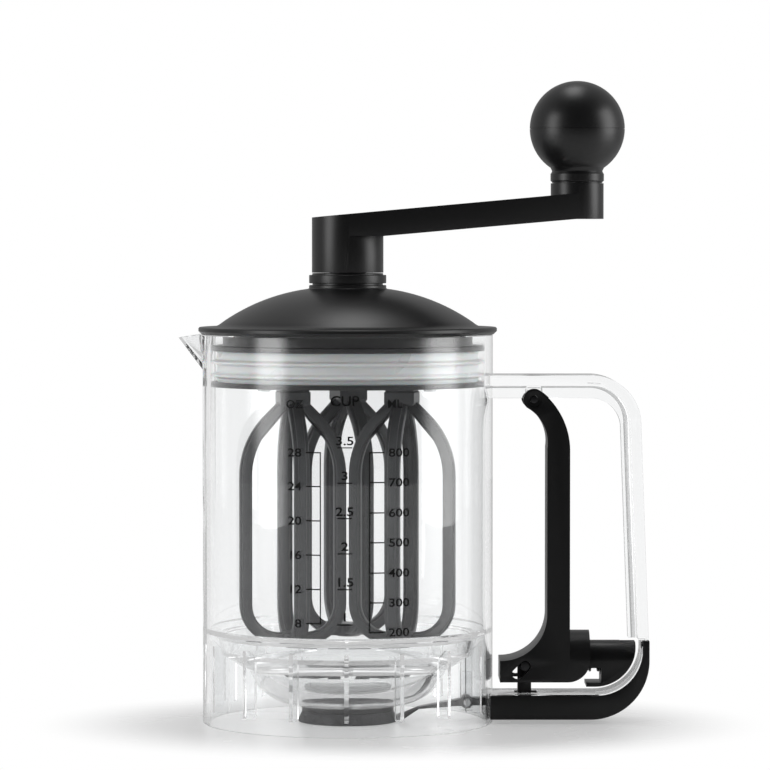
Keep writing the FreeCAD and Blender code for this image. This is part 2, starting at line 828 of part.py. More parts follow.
rocker_pin_radius = size("lever_pin_radius")
link_reach, link_level = size("slot_high_reach"), size("slot_high_level")
eye = size("rocker_eye")
bar = size("rocker_bar")
tip_reach = size("rocker_tip")
rocker = new_body("rocker")
rocker_line = Outline(tip_reach, rocker_level - bar).line(rocker_reach, rocker_level - bar / 2)
rocker_line.line(link_reach + eye, rocker_level - bar / 2).line(link_reach + eye, link_level)
rocker_line.arc(link_reach, link_level + eye, eye, 1).arc(link_reach - eye, link_level, eye, 1)
rocker_line.line(link_reach - eye, rocker_level + bar / 2).line(rocker_reach, rocker_level + bar / 2)
rocker_line.line(tip_reach, rocker_level - bar * 0.75)
side_slab(rocker, rocker_line.close(), size("rocker_half_width"), "bar")
hub_sketch = new_sketch(rocker, "side")
ring(hub_sketch, rocker_reach, rocker_level, eye)
pad(rocker, hub_sketch, size("rocker_half_width") * 2, "hub", middle=True)
side_bore(rocker, rocker_reach, rocker_level, rocker_pin_radius + run, size("rocker_half_width") + 1, "bore")
side_bore(rocker, link_reach, link_level, size("link_pin_radius"), size("rocker_half_width") + 1, "link_bore")


def cross_pin(label, reach, level, radius, half_length):
    """A plain pin across the handle."""
    body = new_body(label)
    sketch = new_sketch(body, "side")
    ring(sketch, reach, level, radius)
    pad(body, sketch, half_length * 2, "rod", middle=True)
    return body


cross_pin("rocker_pin", rocker_reach, rocker_level, rocker_pin_radius, ear_outer)
cross_pin("link_pin", link_reach, link_level, size("link_pin_radius"), size("lever_half_width") - 0.5)
cross_pin("lever_pin", pivot_reach, pivot_level, size("lever_pin_radius"),
          size("lever_half_width") - size("pin_recess_depth"))

# ---------------------------------------------------------------- squeeze lever

lever_front, lever_depth = size("lever_front"), size("lever_depth")
lever_back = lever_front + lever_depth
lever_half = size("lever_half_width")
lever_eye = size("lever_eye")
foot_bottom, toe_front, toe_top = size("foot_bottom"), size("toe_front"), size("toe_top")
heel, heel_bend = size("heel_reach"), size("heel_corner")
sweep = size("toe_sweep")
boss_inner = size("housing_radius") + size("boss_gap")
spring_level = size("spring_level")
boss_top = spring_level + lever_half
eye_turn = 42.0
front_turn_level = pivot_level - 19.0
eye_top = (pivot_reach + lever_eye * sin(eye_turn), pivot_level + lever_eye * cos(eye_turn))
eye_low = (pivot_reach - lever_eye * sin(eye_turn), pivot_level - lever_eye * cos(eye_turn))
eye_side = (pivot_reach - lever_eye * cos(eye_turn), pivot_level + lever_eye * sin(eye_turn))

lever = new_body("lever")
bar_line = Outline(*eye_top).arc(lever_back, front_turn_level, size("lever_bend_outer"), -1)
bar_line.line(lever_back, boss_top - 4).line(heel, boss_top - 4).line(heel, foot_bottom + heel_bend)
bar_line.arc(heel - heel_bend, foot_bottom, heel_bend, -1)
bar_line.line(toe_front, foot_bottom).line(toe_front, toe_top)
bar_line.line(lever_front - sweep, toe_top).arc(lever_front, toe_top + sweep, sweep, 1)
bar_line.line(lever_front, front_turn_level).arc(*eye_low, size("lever_bend_inner"), 1)
bar_line.arc(*eye_side, lever_eye, -1).close_arc(lever_eye, -1)
side_slab(lever, bar_line, lever_half, "bar")

boss_sketch = new_sketch(lever, "front", lever_back - 3)
boss_line = Outline(lever_half, spring_level - 1).line(lever_half, spring_level)
boss_line.arc(plain(0), boss_top, lever_half, 1).arc(-lever_half, spring_level, lever_half, 1)
boss_line.line(-lever_half, spring_level - 1)
draw(boss_sketch, boss_line.close())
pad(lever, boss_sketch, heel - lever_back + 3, "boss")
shave_sketch = new_sketch(lever, "front", lever_back)
shave = Outline(lever_half + 1, boss_top + 1).line(-lever_half - 1, boss_top + 1)
shave.line(-lever_half - 1, spring_level).line(-lever_half, spring_level)
shave.arc(plain(0), boss_top, lever_half, -1).arc(lever_half, spring_level, lever_half, -1)
shave.line(lever_half + 1, spring_level)
draw(shave_sketch, shave.close())
pocket(lever, shave_sketch, heel - lever_back + 1, "boss_round", flip=True)

lever_wall = size("lever_wall")
seat_back = lever_back + 1.35
seat_front = seat_back - size("seat_thick")
core = Outline(toe_front + lever_wall, foot_bottom - 1).line(seat_front, foot_bottom - 1)
core.line(seat_front, boss_top + 1.5).line(lever_back + 1, boss_top + 1.5)
core.line(lever_back + 1, pivot_level + lever_eye + 1)
core.line(pivot_reach - lever_eye - 1, pivot_level + lever_eye + 1)
core.line(pivot_reach - lever_eye - 1, eye_low[1] + 0.1)
core.line(eye_low[0] + lever_wall * 0.7, eye_low[1] + 0.1)
core.arc(lever_front + lever_wall, front_turn_level, size("lever_bend_inner") + lever_wall, -1)
core.line(lever_front + lever_wall, toe_top + sweep)
core.arc(lever_front - sweep, toe_top - lever_wall, sweep + lever_wall, -1)
core.line(toe_front + lever_wall, toe_top - lever_wall)
side_cut(lever, core.close(), lever_half - size("lever_cheek"), "core")

cup_sketch = new_sketch(lever, "front", seat_back)
cup_line = Outline(boss_inner, foot_bottom - 1).line(boss_inner, spring_level)
cup_line.arc(plain(0), spring_level + boss_inner, boss_inner, 1).arc(-boss_inner, spring_level, boss_inner, 1)
cup_line.line(-boss_inner, foot_bottom - 1)
draw(cup_sketch, cup_line.close())
pocket(lever, cup_sketch, heel - seat_back + 1, "spring_cup", flip=True)
spigot_sketch = new_sketch(lever, "front", seat_back - 0.5)
ring(spigot_sketch, plain(0), spring_level, size("spring_radius") - size("spring_wire") - 0.4)
pad(lever, spigot_sketch, plain(3.5), "spigot")

slot_half = size("slot_half_width")
low_reach, low_level = size("slot_low_reach"), size("slot_low_level")
slot_run, slot_rise = size("slot_shift"), size("slot_rise")
slot_long = math.hypot(float(slot_run), float(slot_rise))
step_across, step_up = slot_rise * (1 / slot_long), slot_run * (1 / slot_long)
slot_line = Outline(low_reach - slot_half * step_across, low_level + slot_half * step_up)
slot_line.arc(low_reach - slot_half * step_up, low_level - slot_half * step_across, slot_half, 1)
slot_line.arc(low_reach + slot_half * step_across, low_level - slot_half * step_up, slot_half, 1)
slot_line.line(link_reach + slot_half * step_across, link_level - slot_half * step_up)
slot_line.arc(link_reach + slot_half * step_up, link_level + slot_half * step_across, slot_half, 1)
slot_line.arc(link_reach - slot_half * step_across, link_level + slot_half * step_up, slot_half, 1)
side_cut(lever, slot_line.close(), lever_half + 1, "link_slot")
side_bore(lever, pivot_reach, pivot_level, size("lever_pin_radius") + run, lever_half + 1, "pin_bore")
for front in (True, False):
    recess = new_sketch(lever, "side", lever_half if front else -lever_half)
    ring(recess, pivot_reach, pivot_level, size("pin_recess"))
    pocket(lever, recess, size("pin_recess_depth"), "recess", flip=not front)

# ---------------------------------------------------------------- spring and its housing

housing_radius = size("housing_radius")
nose, face = size("housing_nose"), size("housing_face")
block_bend, block_reach = size("housing_corner"), size("housing_reach")
housing_top = spring_level + housing_radius
spring_housing = new_body("spring_housing")
hook_top, hook_bottom = size("hook_top"), size("hook_bottom")
block_line = Outline(nose, spring_level - 2.4).line(face, spring_level - 2.4).line(face, hook_top)
block_line.line(nose - 0.4, hook_top).line(nose - 0.4, hook_bottom)
block_line.line(block_reach - block_bend, hook_bottom)
block_line.arc(block_reach, hook_bottom + block_bend, block_bend, 1).line(block_reach, housing_top)
block_line.line(nose, housing_top)
side_slab(spring_housing, block_line.close(), housing_radius, "block")
round_sketch = new_sketch(spring_housing, "front", nose - 1)
round_line = Outline(housing_radius + 1, housing_top + 1).line(-housing_radius - 1, housing_top + 1)
round_line.line(-housing_radius - 1, spring_level).line(-housing_radius, spring_level)
round_line.arc(plain(0), housing_top, housing_radius, -1)
round_line.arc(housing_radius, spring_level, housing_radius, -1)
round_line.line(housing_radius + 1, spring_level)
draw(round_sketch, round_line.close())
pocket(spring_housing, round_sketch, block_reach - nose + 2, "round_top", flip=True)
bore_sketch = new_sketch(spring_housing, "front", nose - 1)
ring(bore_sketch, plain(0), spring_level, size("spring_bore"))
pocket(spring_housing, bore_sketch, size("spring_bore_end") - nose + 1, "spring_bore", flip=True)
web_slot = web_in - 0.1
side_cut(spring_housing, box_outline(web_slot, housing_top - 10, block_reach + 1, housing_top + 1),
         size("web_half_width") + 0.1, "web_slot")

spring_start = seat_back + size("spring_wire") / 2
spring_end = size("spring_bore_end") - size("spring_wire") / 2
turns = size("spring_turns")
pitch = float(spring_end - spring_start) / float(turns)
coil_radius = float(size("spring_radius")) - float(size("spring_wire")) / 2
wire_radius = float(size("spring_wire")) / 2
STEPS_PER_TURN = 12
wire_side = Part.makePolygon([Vector(wire_radius * math.cos(a), 0, wire_radius * math.sin(a))
                              for a in [math.pi / 3 * corner for corner in range(7)]])
sections = []
for step in range(int(float(turns)) * STEPS_PER_TURN + 1):
    share = step / STEPS_PER_TURN
    section = wire_side.copy()
    section.translate(Vector(coil_radius, 0, pitch * share))
    section.rotate(Vector(0, 0, 0), Vector(0, 0, 1), 360 * share)
    sections.append(section)
coil = Part.makeLoft(sections, True, True)
coil.rotate(Vector(0, 0, 0), Vector(0, 1, 0), 90)
spring = node(doc.addObject("Part::Feature", "lever_spring"), "lever_spring")
spring.Shape = coil
spring_seat = Placement(Vector(float(spring_start), 0, float(spring_level)), Rotation())
spring.Placement = spring_seat * spring.Placement

# ---------------------------------------------------------------- suction foot

cup_radius, cup_height = size("cup_radius"), size("cup_height")
mount_radius, mount_bottom = size("mount_radius"), size("mount_bottom")
pad_level = size("pad_level")
screw_radius = size("cup_screw_radius")

suction_mount = new_body("suction_mount")
mount_line = Outline(screw_radius, mount_bottom + 1.2).line(mount_radius, mount_bottom + 1.2)
mount_line.line(mount_radius, pad_level).line(screw_radius, pad_level)
revolve(suction_mount, mount_line.close(), "disc")

suction_cup = new_body("suction_cup")
cup_rim = 0.9
cup_line = Outline(screw_radius + 2.4, cup_height - 1.8)
cup_line.line(cup_radius * 0.6, cup_height - 2.3).line(cup_radius - cup_rim, plain(0.2))
cup_line.line(cup_radius, plain(0.2))
cup_line.line(cup_radius, plain(cup_rim)).line(mount_radius, mount_bottom + 0.6)
cup_line.line(mount_radius, mount_bottom + 1.2).line(screw_radius + 2.4, mount_bottom + 1.2)
revolve(suction_cup, cup_line.close(), "skirt")

release_tab = new_body("release_tab")
tab_low, tab_high = plain(0.7), plain(2.2)
under, over = rocker_level - bar, rocker_level - bar * 0.75
tab_line = Outline(cup_radius + gap, tab_low).line(cup_radius + 2, tab_low).line(tip_reach, under)
tab_line.line(tip_reach, over).line(cup_radius + gap, tab_high)
side_slab(release_tab, tab_line.close(), size("rocker_half_width"), "strap")

cup_screw = new_body("cup_screw")
head = screw_radius + 2.2
screw_line = Outline(plain(0), cup_height - 1.6).line(head, cup_height - 1.6).line(head, mount_bottom + 1.2)
screw_line.line(screw_radius, mount_bottom + 1.2).line(screw_radius, size("floor_level") - 1.2)
screw_line.line(plain(0), size("floor_level") - 1.2)
revolve(cup_screw, screw_line.close(), "shank")

# ---------------------------------------------------------------- lid

lid_radius = size("lid_radius")
lid_top = size("lid_top")
lid_shell = size("lid_shell")
foot_radius, foot_level = size("dome_foot_radius"), size("dome_foot_level")
top_level = size("dome_top_level")
neck, neck_level = size("neck_radius"), size("neck_level")
bush_radius = size("bush_radius")
flange_level = size("bush_flange_level")

lid_cover = new_body("lid_cover")
dome = Outline(lid_radius - 1.3, rim).line(lid_radius, rim + 1.2).line(lid_radius, lid_top)
dome.line(foot_radius + 4.2, lid_top).line(foot_radius + 1.8, lid_top + 0.5).line(foot_radius, foot_level)
dome_middle = (size("dome_middle_reach"), size("dome_middle_level"))
dome_low, dome_high = size("dome_foot_turn"), size("dome_head_turn")
dome.bend(dome_middle, size("dome_curve"), dome_low, dome_high, 5)
dome.line(neck, neck_level).line(size("groove_radius"), neck_level)
dome.line(size("groove_radius"), flange_level).line(bush_radius, flange_level)
seat = size("collar_radius") - size("collar_wall") / 2
dome.line(bush_radius, top_level - lid_shell)
dome.line(size("dome_head_radius"), top_level - lid_shell)
dome.bend(dome_middle, size("dome_curve") - lid_shell, dome_high, dome_low + 1.6, 2)
dome.line(seat, rim)
revolve(lid_cover, dome.close(), "dome")

shaft_radius = size("shaft_radius")
shaft_bush = new_body("shaft_bush")
bush_top = size("bush_top")
collar_top = flange_level + size("bush_flange_thick")
bush = Outline(shaft_radius + run, size("bush_bottom")).line(bush_radius, size("bush_bottom"))
bush.line(bush_radius, flange_level).line(neck, flange_level).line(neck, collar_top)
bush.line(size("groove_radius") - 0.4, collar_top)
bush.line(size("groove_radius") - 0.4, bush_top).line(shaft_radius + run, bush_top)
revolve(shaft_bush, bush.close(), "sleeve")

# ---------------------------------------------------------------- plug: cage, gasket, retainer

plug_radius, plug_flange = size("plug_flange_radius"), size("plug_flange_thick")
cage_radius, cage_bore = size("cage_radius"), size("cage_bore")
upper_flange_top = size("upper_flange_top")
retainer_bottom, retainer_top = size("retainer_bottom"), size("retainer_top")
gear_bottom, gear_top = size("gear_bottom"), size("gear_bottom") + size("gear_thick")
collar_radius = size("collar_radius")
roof_top = size("bush_bottom")
roof = roof_top - size("cage_roof")

gear_cage = new_body("gear_cage")
cage = Outline(cage_bore, retainer_top).line(cage_radius, retainer_top)
cage.line(cage_radius, upper_flange_top - plug_flange).line(plug_radius, upper_flange_top - plug_flange)
cage.line(plug_radius, upper_flange_top).line(collar_radius, upper_flange_top).line(collar_radius, rim)
cage.line(collar_radius - size("collar_wall"), rim).line(collar_radius - size("collar_wall"), roof_top)
cage.line(shaft_radius + 0.6, roof_top).line(shaft_radius + 0.6, roof).line(cage_bore, roof)
revolve(gear_cage, cage.close(), "cup")
screw_circle = (cage_bore + cage_radius) / 2
screw_spots = circle_spots(screw_circle, 4, 45.0)
plan_bores(gear_cage, screw_spots, size("retainer_screw_radius"), retainer_top + 7, plain(8), "screw_pilots")

retainer = new_body("retainer_ring")
carrier_radius = size("carrier_radius")
retainer_line = Outline(carrier_radius + gap, retainer_bottom).line(plug_radius, retainer_bottom)
retainer_line.line(plug_radius, retainer_top).line(carrier_radius + gap, retainer_top)
revolve(retainer, retainer_line.close(), "ring")
plan_bores(retainer, screw_spots, size("retainer_screw_radius"), retainer_top + 1, plain(4), "screw_holes")

gasket = new_body("gasket")
seal_radius, seal_lip = size("gasket_radius"), size("gasket_lip_radius")
lip_high, lip_low = size("gasket_lip_high"), size("gasket_lip_low")
seal_top = upper_flange_top - plug_flange
seal = Outline(cage_radius, retainer_top).line(seal_radius, retainer_top).line(seal_radius, lip_low - 1.0)
seal.line(seal_lip, lip_low).line(seal_radius, lip_low + 1.0).line(seal_radius, lip_high - 1.0)
seal.line(seal_lip, lip_high).line(seal_radius, lip_high + 1.0)
seal.line(seal_radius, seal_top).line(cage_radius, seal_top).close()
revolve(gasket, seal, "sleeve")


def small_screw(radius, head_radius, head_height, bottom, top):
    """A pan head screw that stands head down on its axis."""
    shank = Part.makeCylinder(radius, top - bottom, Vector(0, 0, bottom))
    pan = Part.makeCylinder(head_radius, head_height, Vector(0, 0, bottom - head_height))
    return shank.fuse(pan).removeSplitter()


def screw_group(label, spots, radius, head_radius, head_height, bottom, top):
    """Identical screws as one node of separate solids."""
    screw = small_screw(float(radius), float(head_radius), head_height, float(bottom), float(top))
    copies = []
    for across, up in spots:
        copy = screw.copy()
        copy.translate(Vector(float(across), float(up), 0))
        copies.append(copy)
    made = node(doc.addObject("Part::Feature", label), label)
    made.Shape = Part.makeCompound(copies)


screw_r = size("retainer_screw_radius")
screw_group("retainer_screws", screw_spots, screw_r, screw_r + size("retainer_screw_lap"),
            float(size("retainer_screw_head")),
            retainer_bottom, retainer_top + size("retainer_screw_rise"))

# ---------------------------------------------------------------- gears

module = float(size("module"))
ring_teeth, planet_teeth = round(float(size("ring_teeth"))), round(float(size("planet_teeth")))
backlash = float(size("backlash"))
PRESSURE = math.radians(20)
FLANK_STEPS = 3


def involute(base, radius):
    """Polar angle of an involute of a base circle, at a radius."""
    slope = math.sqrt(max(radius * radius / (base * base) - 1, 0))
    return slope - math.atan(slope)


def tooth_wire(teeth, root, tip, thin):
    """Closed outline of a spur gear: involute flanks between a root and a tip circle."""
    pitch_radius = module * teeth / 2
    base = pitch_radius * math.cos(PRESSURE)
    half = math.pi / (2 * teeth) - thin / (2 * pitch_radius) + involute(base, pitch_radius)
    start = max(base, root)
    flank = [(root, half - involute(base, start))] if root < start else []
    for step in range(FLANK_STEPS + 1):
        radius = start + (tip - start) * step / FLANK_STEPS
        flank.append((radius, half - involute(base, radius)))
    points = []
    for index in range(teeth):
        middle = index * 2 * math.pi / teeth
        rise = [(radius, middle - turn) for radius, turn in flank]
        fall = [(radius, middle + turn) for radius, turn in reversed(flank)]
        points += [Vector(r * math.cos(a), r * math.sin(a), 0) for r, a in rise + fall]
    return Part.makePolygon(points + points[:1])


def tooth_block(wire, bottom, thick):
    block = Part.Face(wire).extrude(Vector(0, 0, thick))
    block.translate(Vector(0, 0, bottom))
    return block


gear_low, gear_tall = float(gear_bottom), float(size("gear_thick"))
ring_pitch = module * ring_teeth / 2
space = tooth_wire(ring_teeth, ring_pitch - module * 0.9, ring_pitch + module * 1.2, -backlash)
ring_gear = node(doc.addObject("Part::Feature", "ring_gear"), "ring_gear")
ring_blank = Part.makeCylinder(float(cage_bore), gear_tall, Vector(0, 0, gear_low))
ring_gear.Shape = ring_blank.cut(tooth_block(space, gear_low - 1, gear_tall + 2))

whisk_circle = float(size("whisk_circle"))
planet_pitch = module * planet_teeth / 2
WHISK_TURNS = (90.0, 210.0, 330.0)
spindle_radius = size("spindle_radius")
spindle_bottom = size("spindle_bottom")
carrier_top = size("carrier_top")


def planet_shape():
    """A planet gear with its thrust ring and the spindle that its whisk plugs onto."""
    wire = tooth_wire(planet_teeth, planet_pitch - module * 1.15, planet_pitch + module * 0.85, backlash)
    gear = tooth_block(wire, gear_low, gear_tall)
    thrust = Part.makeCylinder(float(spindle_radius) + 2, gear_low - float(carrier_top) - 0.3,
                               Vector(0, 0, float(carrier_top) + 0.3))
    spindle = Part.makeCylinder(float(spindle_radius), gear_low - float(spindle_bottom),
                                Vector(0, 0, float(spindle_bottom)))
    return gear.fuse([thrust, spindle])


planet = planet_shape()
# The ring has a space at every 7.5 degrees from +X, so a planet that points a tooth straight
# outward at 90, 210 or 330 degrees is in mesh.
for number, turn in enumerate(WHISK_TURNS, start=1):
    gear = node(doc.addObject("Part::Feature", f"planet_gear_{number}"), f"planet_gear_{number}")
    gear.Shape = planet
    at = Vector(whisk_circle * math.cos(math.radians(turn)), whisk_circle * math.sin(math.radians(turn)), 0)
    gear.Placement = Placement(at, Rotation(Vector(0, 0, 1), turn))

# ---------------------------------------------------------------- carrier and drive shaft

carrier_hub = size("carrier_hub")
bridge_bottom, bridge_thick = size("bridge_bottom"), size("bridge_thick")
bridge_radius = size("bridge_radius")
post_radius, post_circle = size("post_radius"), size("post_circle")
carrier = new_body("carrier")
disc = Outline(shaft_radius, retainer_bottom).line(carrier_radius, retainer_bottom)
disc.line(carrier_radius, carrier_top).line(carrier_hub, carrier_top).line(carrier_hub, bridge_bottom)
disc.line(shaft_radius, bridge_bottom)
revolve(carrier, disc.close(), "disc")
post_spots = circle_spots(post_circle, 3, 30.0)
post_sketch = new_sketch(carrier, "plan", carrier_top - 0.5)
for across, up in post_spots:
    ring(post_sketch, across, up, post_radius)
pad(carrier, post_sketch, bridge_bottom - carrier_top + 0.5, "posts")
whisk_spots = circle_spots(size("whisk_circle"), 3, 90.0)
plan_bores(carrier, whisk_spots, spindle_radius + run, carrier_top + 0.5,
           carrier_top - retainer_bottom + 1, "spindle_bores")
plan_bores(carrier, post_spots, screw_r, bridge_bottom + 1, plain(8), "post_pilots")

bridge = new_body("carrier_bridge")
bridge_line = Outline(shaft_radius, bridge_bottom).line(bridge_radius, bridge_bottom)
bridge_line.line(bridge_radius, bridge_bottom + bridge_thick).line(shaft_radius, bridge_bottom + bridge_thick)
revolve(bridge, bridge_line.close(), "plate")
plan_bores(bridge, post_spots, screw_r, bridge_bottom + bridge_thick + 1, plain(4), "post_holes")

hub_radius, hub_bottom, dog_top = size("hub_radius"), size("hub_bottom"), size("dog_top")
shaft_bottom = retainer_bottom
split_reach = size("split_reach")
drive_shaft = new_body("drive_shaft")
shaft = Outline(plain(0), shaft_bottom).line(shaft_radius, shaft_bottom)
shaft.line(shaft_radius, hub_bottom).line(hub_radius, hub_bottom).line(hub_radius, dog_top)
shaft.line(plain(0), dog_top)
revolve(drive_shaft, shaft.close(), "shaft")
lean_back = (dog_top - hub_bottom) * tan(size("dog_lean"))
dog_cut = Outline(-hub_radius - 1, hub_bottom).line(split_reach - lean_back, hub_bottom)
dog_cut.line(split_reach, dog_top).line(split_reach, dog_top + 1).line(-hub_radius - 1, dog_top + 1)
side_cut(drive_shaft, dog_cut.close(), hub_radius + 1, "dog_flat")
tang_sketch = new_sketch(drive_shaft, "plan", hub_bottom)
tang = size("tang_radius")
tang_shift = size("tang_shift")
ring(tang_sketch, -tang_shift, plain(0), tang)
pad(drive_shaft, tang_sketch, dog_top - hub_bottom - 1, "tang")
plan_bores(drive_shaft, [(plain(0), plain(0))], size("crank_screw_radius"), shaft_bottom + 9, plain(10),
           "foot_pilot")

# ---------------------------------------------------------------- crank arm

arm_top, rise = size("arm_top"), tan(size("arm_rise"))
throw, tip_radius = size("arm_throw"), size("arm_tip_radius")
tip_bottom, post_top = size("arm_tip_bottom"), size("post_top")
crank_arm = new_body("crank_arm")
reach_out = throw + tip_radius
arm_line = Outline(-hub_radius, hub_bottom).line(split_reach - lean_back, hub_bottom)
arm_line.line(split_reach, dog_top).line(hub_radius, dog_top)
arm_line.line(throw, tip_bottom).line(reach_out, tip_bottom).line(reach_out, arm_top + reach_out * rise)
arm_line.line(-hub_radius, arm_top - hub_radius * rise)
side_slab(crank_arm, arm_line.close(), hub_radius, "side")
trim_sketch = new_sketch(crank_arm, "plan", hub_bottom - 1)
margin = 6
around = Outline(-hub_radius - margin, -hub_radius - margin).line(reach_out + margin, -hub_radius - margin)
around.line(reach_out + margin, hub_radius + margin).line(-hub_radius - margin, hub_radius + margin)
draw(trim_sketch, around.close())
taper = (hub_radius - tip_radius) / throw
taper_up = Size(math.sqrt(1 - float(taper) ** 2), f"sqrt(1 - {taper.text} ^ 2)")
hub_touch = (hub_radius * taper, hub_radius * taper_up)
tip_touch = (throw + tip_radius * taper, tip_radius * taper_up)
plan = Outline(hub_touch[0], -hub_touch[1]).line(tip_touch[0], -tip_touch[1])
plan.arc(reach_out, plain(0), tip_radius, 1).arc(tip_touch[0], tip_touch[1], tip_radius, 1)
plan.line(*hub_touch).arc(-hub_radius, plain(0), hub_radius, 1).close_arc(hub_radius, 1)
draw(trim_sketch, plan)
pocket(crank_arm, trim_sketch, post_top - hub_bottom + 2, "trim", flip=True)
post_sketch = new_sketch(crank_arm, "plan", tip_bottom)
ring(post_sketch, throw, plain(0), tip_radius)
pad(crank_arm, post_sketch, post_top - tip_bottom, "post")
plan_bores(crank_arm, [(-tang_shift, plain(0))], tang, dog_top - 1, dog_top - hub_bottom, "tang_socket")
cap_reach = size("crank_screw_shift")
plan_bores(crank_arm, [(cap_reach, plain(0))], size("crank_screw_head"), arm_top + 2, plain(4.4),
           "screw_recess")
plan_bores(crank_arm, [(cap_reach, plain(0))], size("crank_screw_radius"), arm_top,
           arm_top - dog_top + 1, "screw_hole")
plan_bores(drive_shaft, [(cap_reach, plain(0))], size("crank_screw_radius"), dog_top + 1, plain(11),
           "screw_pilot")
plan_bores(crank_arm, [(throw, plain(0))], size("knob_pin_radius"), post_top + 1, plain(10), "pin_socket")

crank_screw = new_body("crank_screw")
screw_seat = arm_top - 2.4
crank_screw_line = Outline(plain(0), dog_top - 9).line(size("crank_screw_radius"), dog_top - 9)
crank_screw_line.line(size("crank_screw_radius"), screw_seat).line(size("crank_screw_head") - 0.2, screw_seat)
crank_screw_line.line(size("crank_screw_head") - 0.2, screw_seat + 1.8).line(plain(0), screw_seat + 1.8)
revolve(crank_screw, crank_screw_line.close(), "screw")
place(crank_screw, cap_reach, plain(0), plain(0))

carrier_screw = new_body("carrier_screw")
foot_head, foot_length = size("carrier_screw_head"), size("carrier_screw_length")
foot_screw = Outline(plain(0), shaft_bottom - foot_head).line(carrier_hub - 1, shaft_bottom - foot_head)
foot_screw.line(carrier_hub - 1, shaft_bottom).line(size("crank_screw_radius"), shaft_bottom)
foot_screw.line(size("crank_screw_radius"), shaft_bottom + foot_length)
foot_screw.line(plain(0), shaft_bottom + foot_length)
revolve(carrier_screw, foot_screw.close(), "screw")

# ---------------------------------------------------------------- knob

knob_radius, knob_centre = size("knob_radius"), size("knob_centre")
knob_neck, neck_bottom, neck_top = size("knob_neck_radius"), size("knob_neck_bottom"), size("knob_neck_top")
pin = size("knob_pin_radius")
pin_top = size("knob_pin_top")
seam = 0.25

knob_pin = new_body("knob_pin")
pin_line = Outline(plain(0), post_top - 9).line(pin, post_top - 9).line(pin, pin_top).line(plain(0), pin_top)
revolve(knob_pin, pin_line.close(), "pin")
place(knob_pin, throw, plain(0), plain(0))

ball_middle = (plain(0), knob_centre)
knob_base = new_body("knob_base")
base_line = Outline(pin + run, neck_bottom).line(knob_neck, neck_bottom).line(knob_neck, neck_top)
base_line.line(knob_neck - 0.6, neck_top + 0.8)
base_line.bend(ball_middle, knob_radius, -55.75, 0, 7)
base_line.line(plain(0), knob_centre).line(plain(0), pin_top + gap).line(pin + run, pin_top + gap)
revolve(knob_base, base_line.close(), "base")
place(knob_base, throw, plain(0), plain(0))

knob_cap = new_body("knob_cap")
cap_line = Outline(plain(0), knob_centre).line(knob_radius, knob_centre)
cap_line.bend(ball_middle, knob_radius, 0, 78, 8).line(plain(0), knob_centre + knob_radius)
revolve(knob_cap, cap_line.close(), "cap")
place(knob_cap, throw, plain(0), plain(0))

# ---------------------------------------------------------------- whisks

tine_reach, tine_level = size("whisk_radius"), size("tine_level")
tine_bend, tine_start = size("tine_bend"), size("tine_top_radius")
hub_side, hub_top, hub_low = size("whisk_hub"), size("whisk_hub_top"), size("whisk_hub_bottom")
whisk_bottom, foot_bend = size("whisk_bottom"), size("tine_foot_bend")
tine_thick, tine_width = size("tine_thick"), size("tine_width")


def tine_outline():
    """One tine seen from its side: a bowed bar that comes down from the hub to the button."""
    half = tine_thick / 2
    bow = (tine_reach - tine_bend, tine_level)
    foot = (tine_reach - foot_bend, whisk_bottom + half + foot_bend)
    end_level = bow[1] + tine_bend * sin(45) + (bow[0] + tine_bend * cos(45) - tine_start)
    tilt = half * cos(45)
    outer, inner = foot_bend + half, foot_bend - half
    line = Outline(tine_start, whisk_bottom).line(foot[0], whisk_bottom)
    line.arc(foot[0] + outer, foot[1], outer, 1).line(tine_reach + half, tine_level)
    bow_outer, bow_inner = tine_bend + half, tine_bend - half
    line.arc(bow[0] + bow_outer * cos(45), bow[1] + bow_outer * sin(45), bow_outer, 1)
    line.line(tine_start + tilt, end_level + tilt).line(tine_start - tilt, end_level - tilt)
    line.line(bow[0] + bow_inner * cos(45), bow[1] + bow_inner * sin(45))
    line.arc(tine_reach - half, tine_level, bow_inner, -1).line(tine_reach - half, foot[1])
    line.arc(foot[0], foot[1] - inner, inner, -1).line(tine_start, foot[1] - inner)
    return line.close()


def make_whisk(label):
    """A cage of four bowed tines that hang from a square hub and meet in a button."""
    body = new_body(label)
    hub_half = hub_side / 2
    hub_sketch = new_sketch(body, "plan", hub_low)
    draw(hub_sketch, box_outline(-hub_half, -hub_half, hub_half, hub_half))
    pad(body, hub_sketch, hub_top - hub_low, "hub")
    tine = side_slab(body, tine_outline(), tine_width / 2, "tine")
    polar(body, [tine], 4, "tines")
    button_sketch = new_sketch(body, "plan", whisk_bottom)
    ring(button_sketch, plain(0), plain(0), size("whisk_button"))
    pad(body, button_sketch, tine_thick, "button")
    plan_bores(body, [(plain(0), plain(0))], spindle_radius, hub_top + 1, hub_top - spindle_bottom + 1,
               "socket")
    return body


whisk_arm = size("whisk_circle")
side_turn = size("side_whisk_turn")
whisk_poses = (size("back_whisk_turn"), side_turn, 90 - side_turn)
for number, (turn, pose) in enumerate(zip(WHISK_TURNS, whisk_poses), start=1):
    whisk = make_whisk(f"whisk_{number}")
    place(whisk, whisk_arm * cos(turn), whisk_arm * sin(turn), plain(0), pose)

doc.recompute()
for made in doc.Objects:
    if "Invalid" in made.State or "Error" in made.State:
        raise SystemExit(f"{made.Label} ({made.Name}) failed: {made.State}")
for piece in NODES:
    if piece.Shape.isNull() or not piece.Shape.isValid():
        raise SystemExit(f"{piece.Label} has no valid shape")
os.makedirs("parts", exist_ok=True)
for piece in NODES:
    piece.Shape.exportStep(f"parts/{piece.Label}.step")
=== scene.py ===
"""A hand cranked mixer jar: a clear jar with a squeeze-lever handle, a black lid and caged whisks."""

import logging
import math
from dataclasses import dataclass, field
from enum import Enum

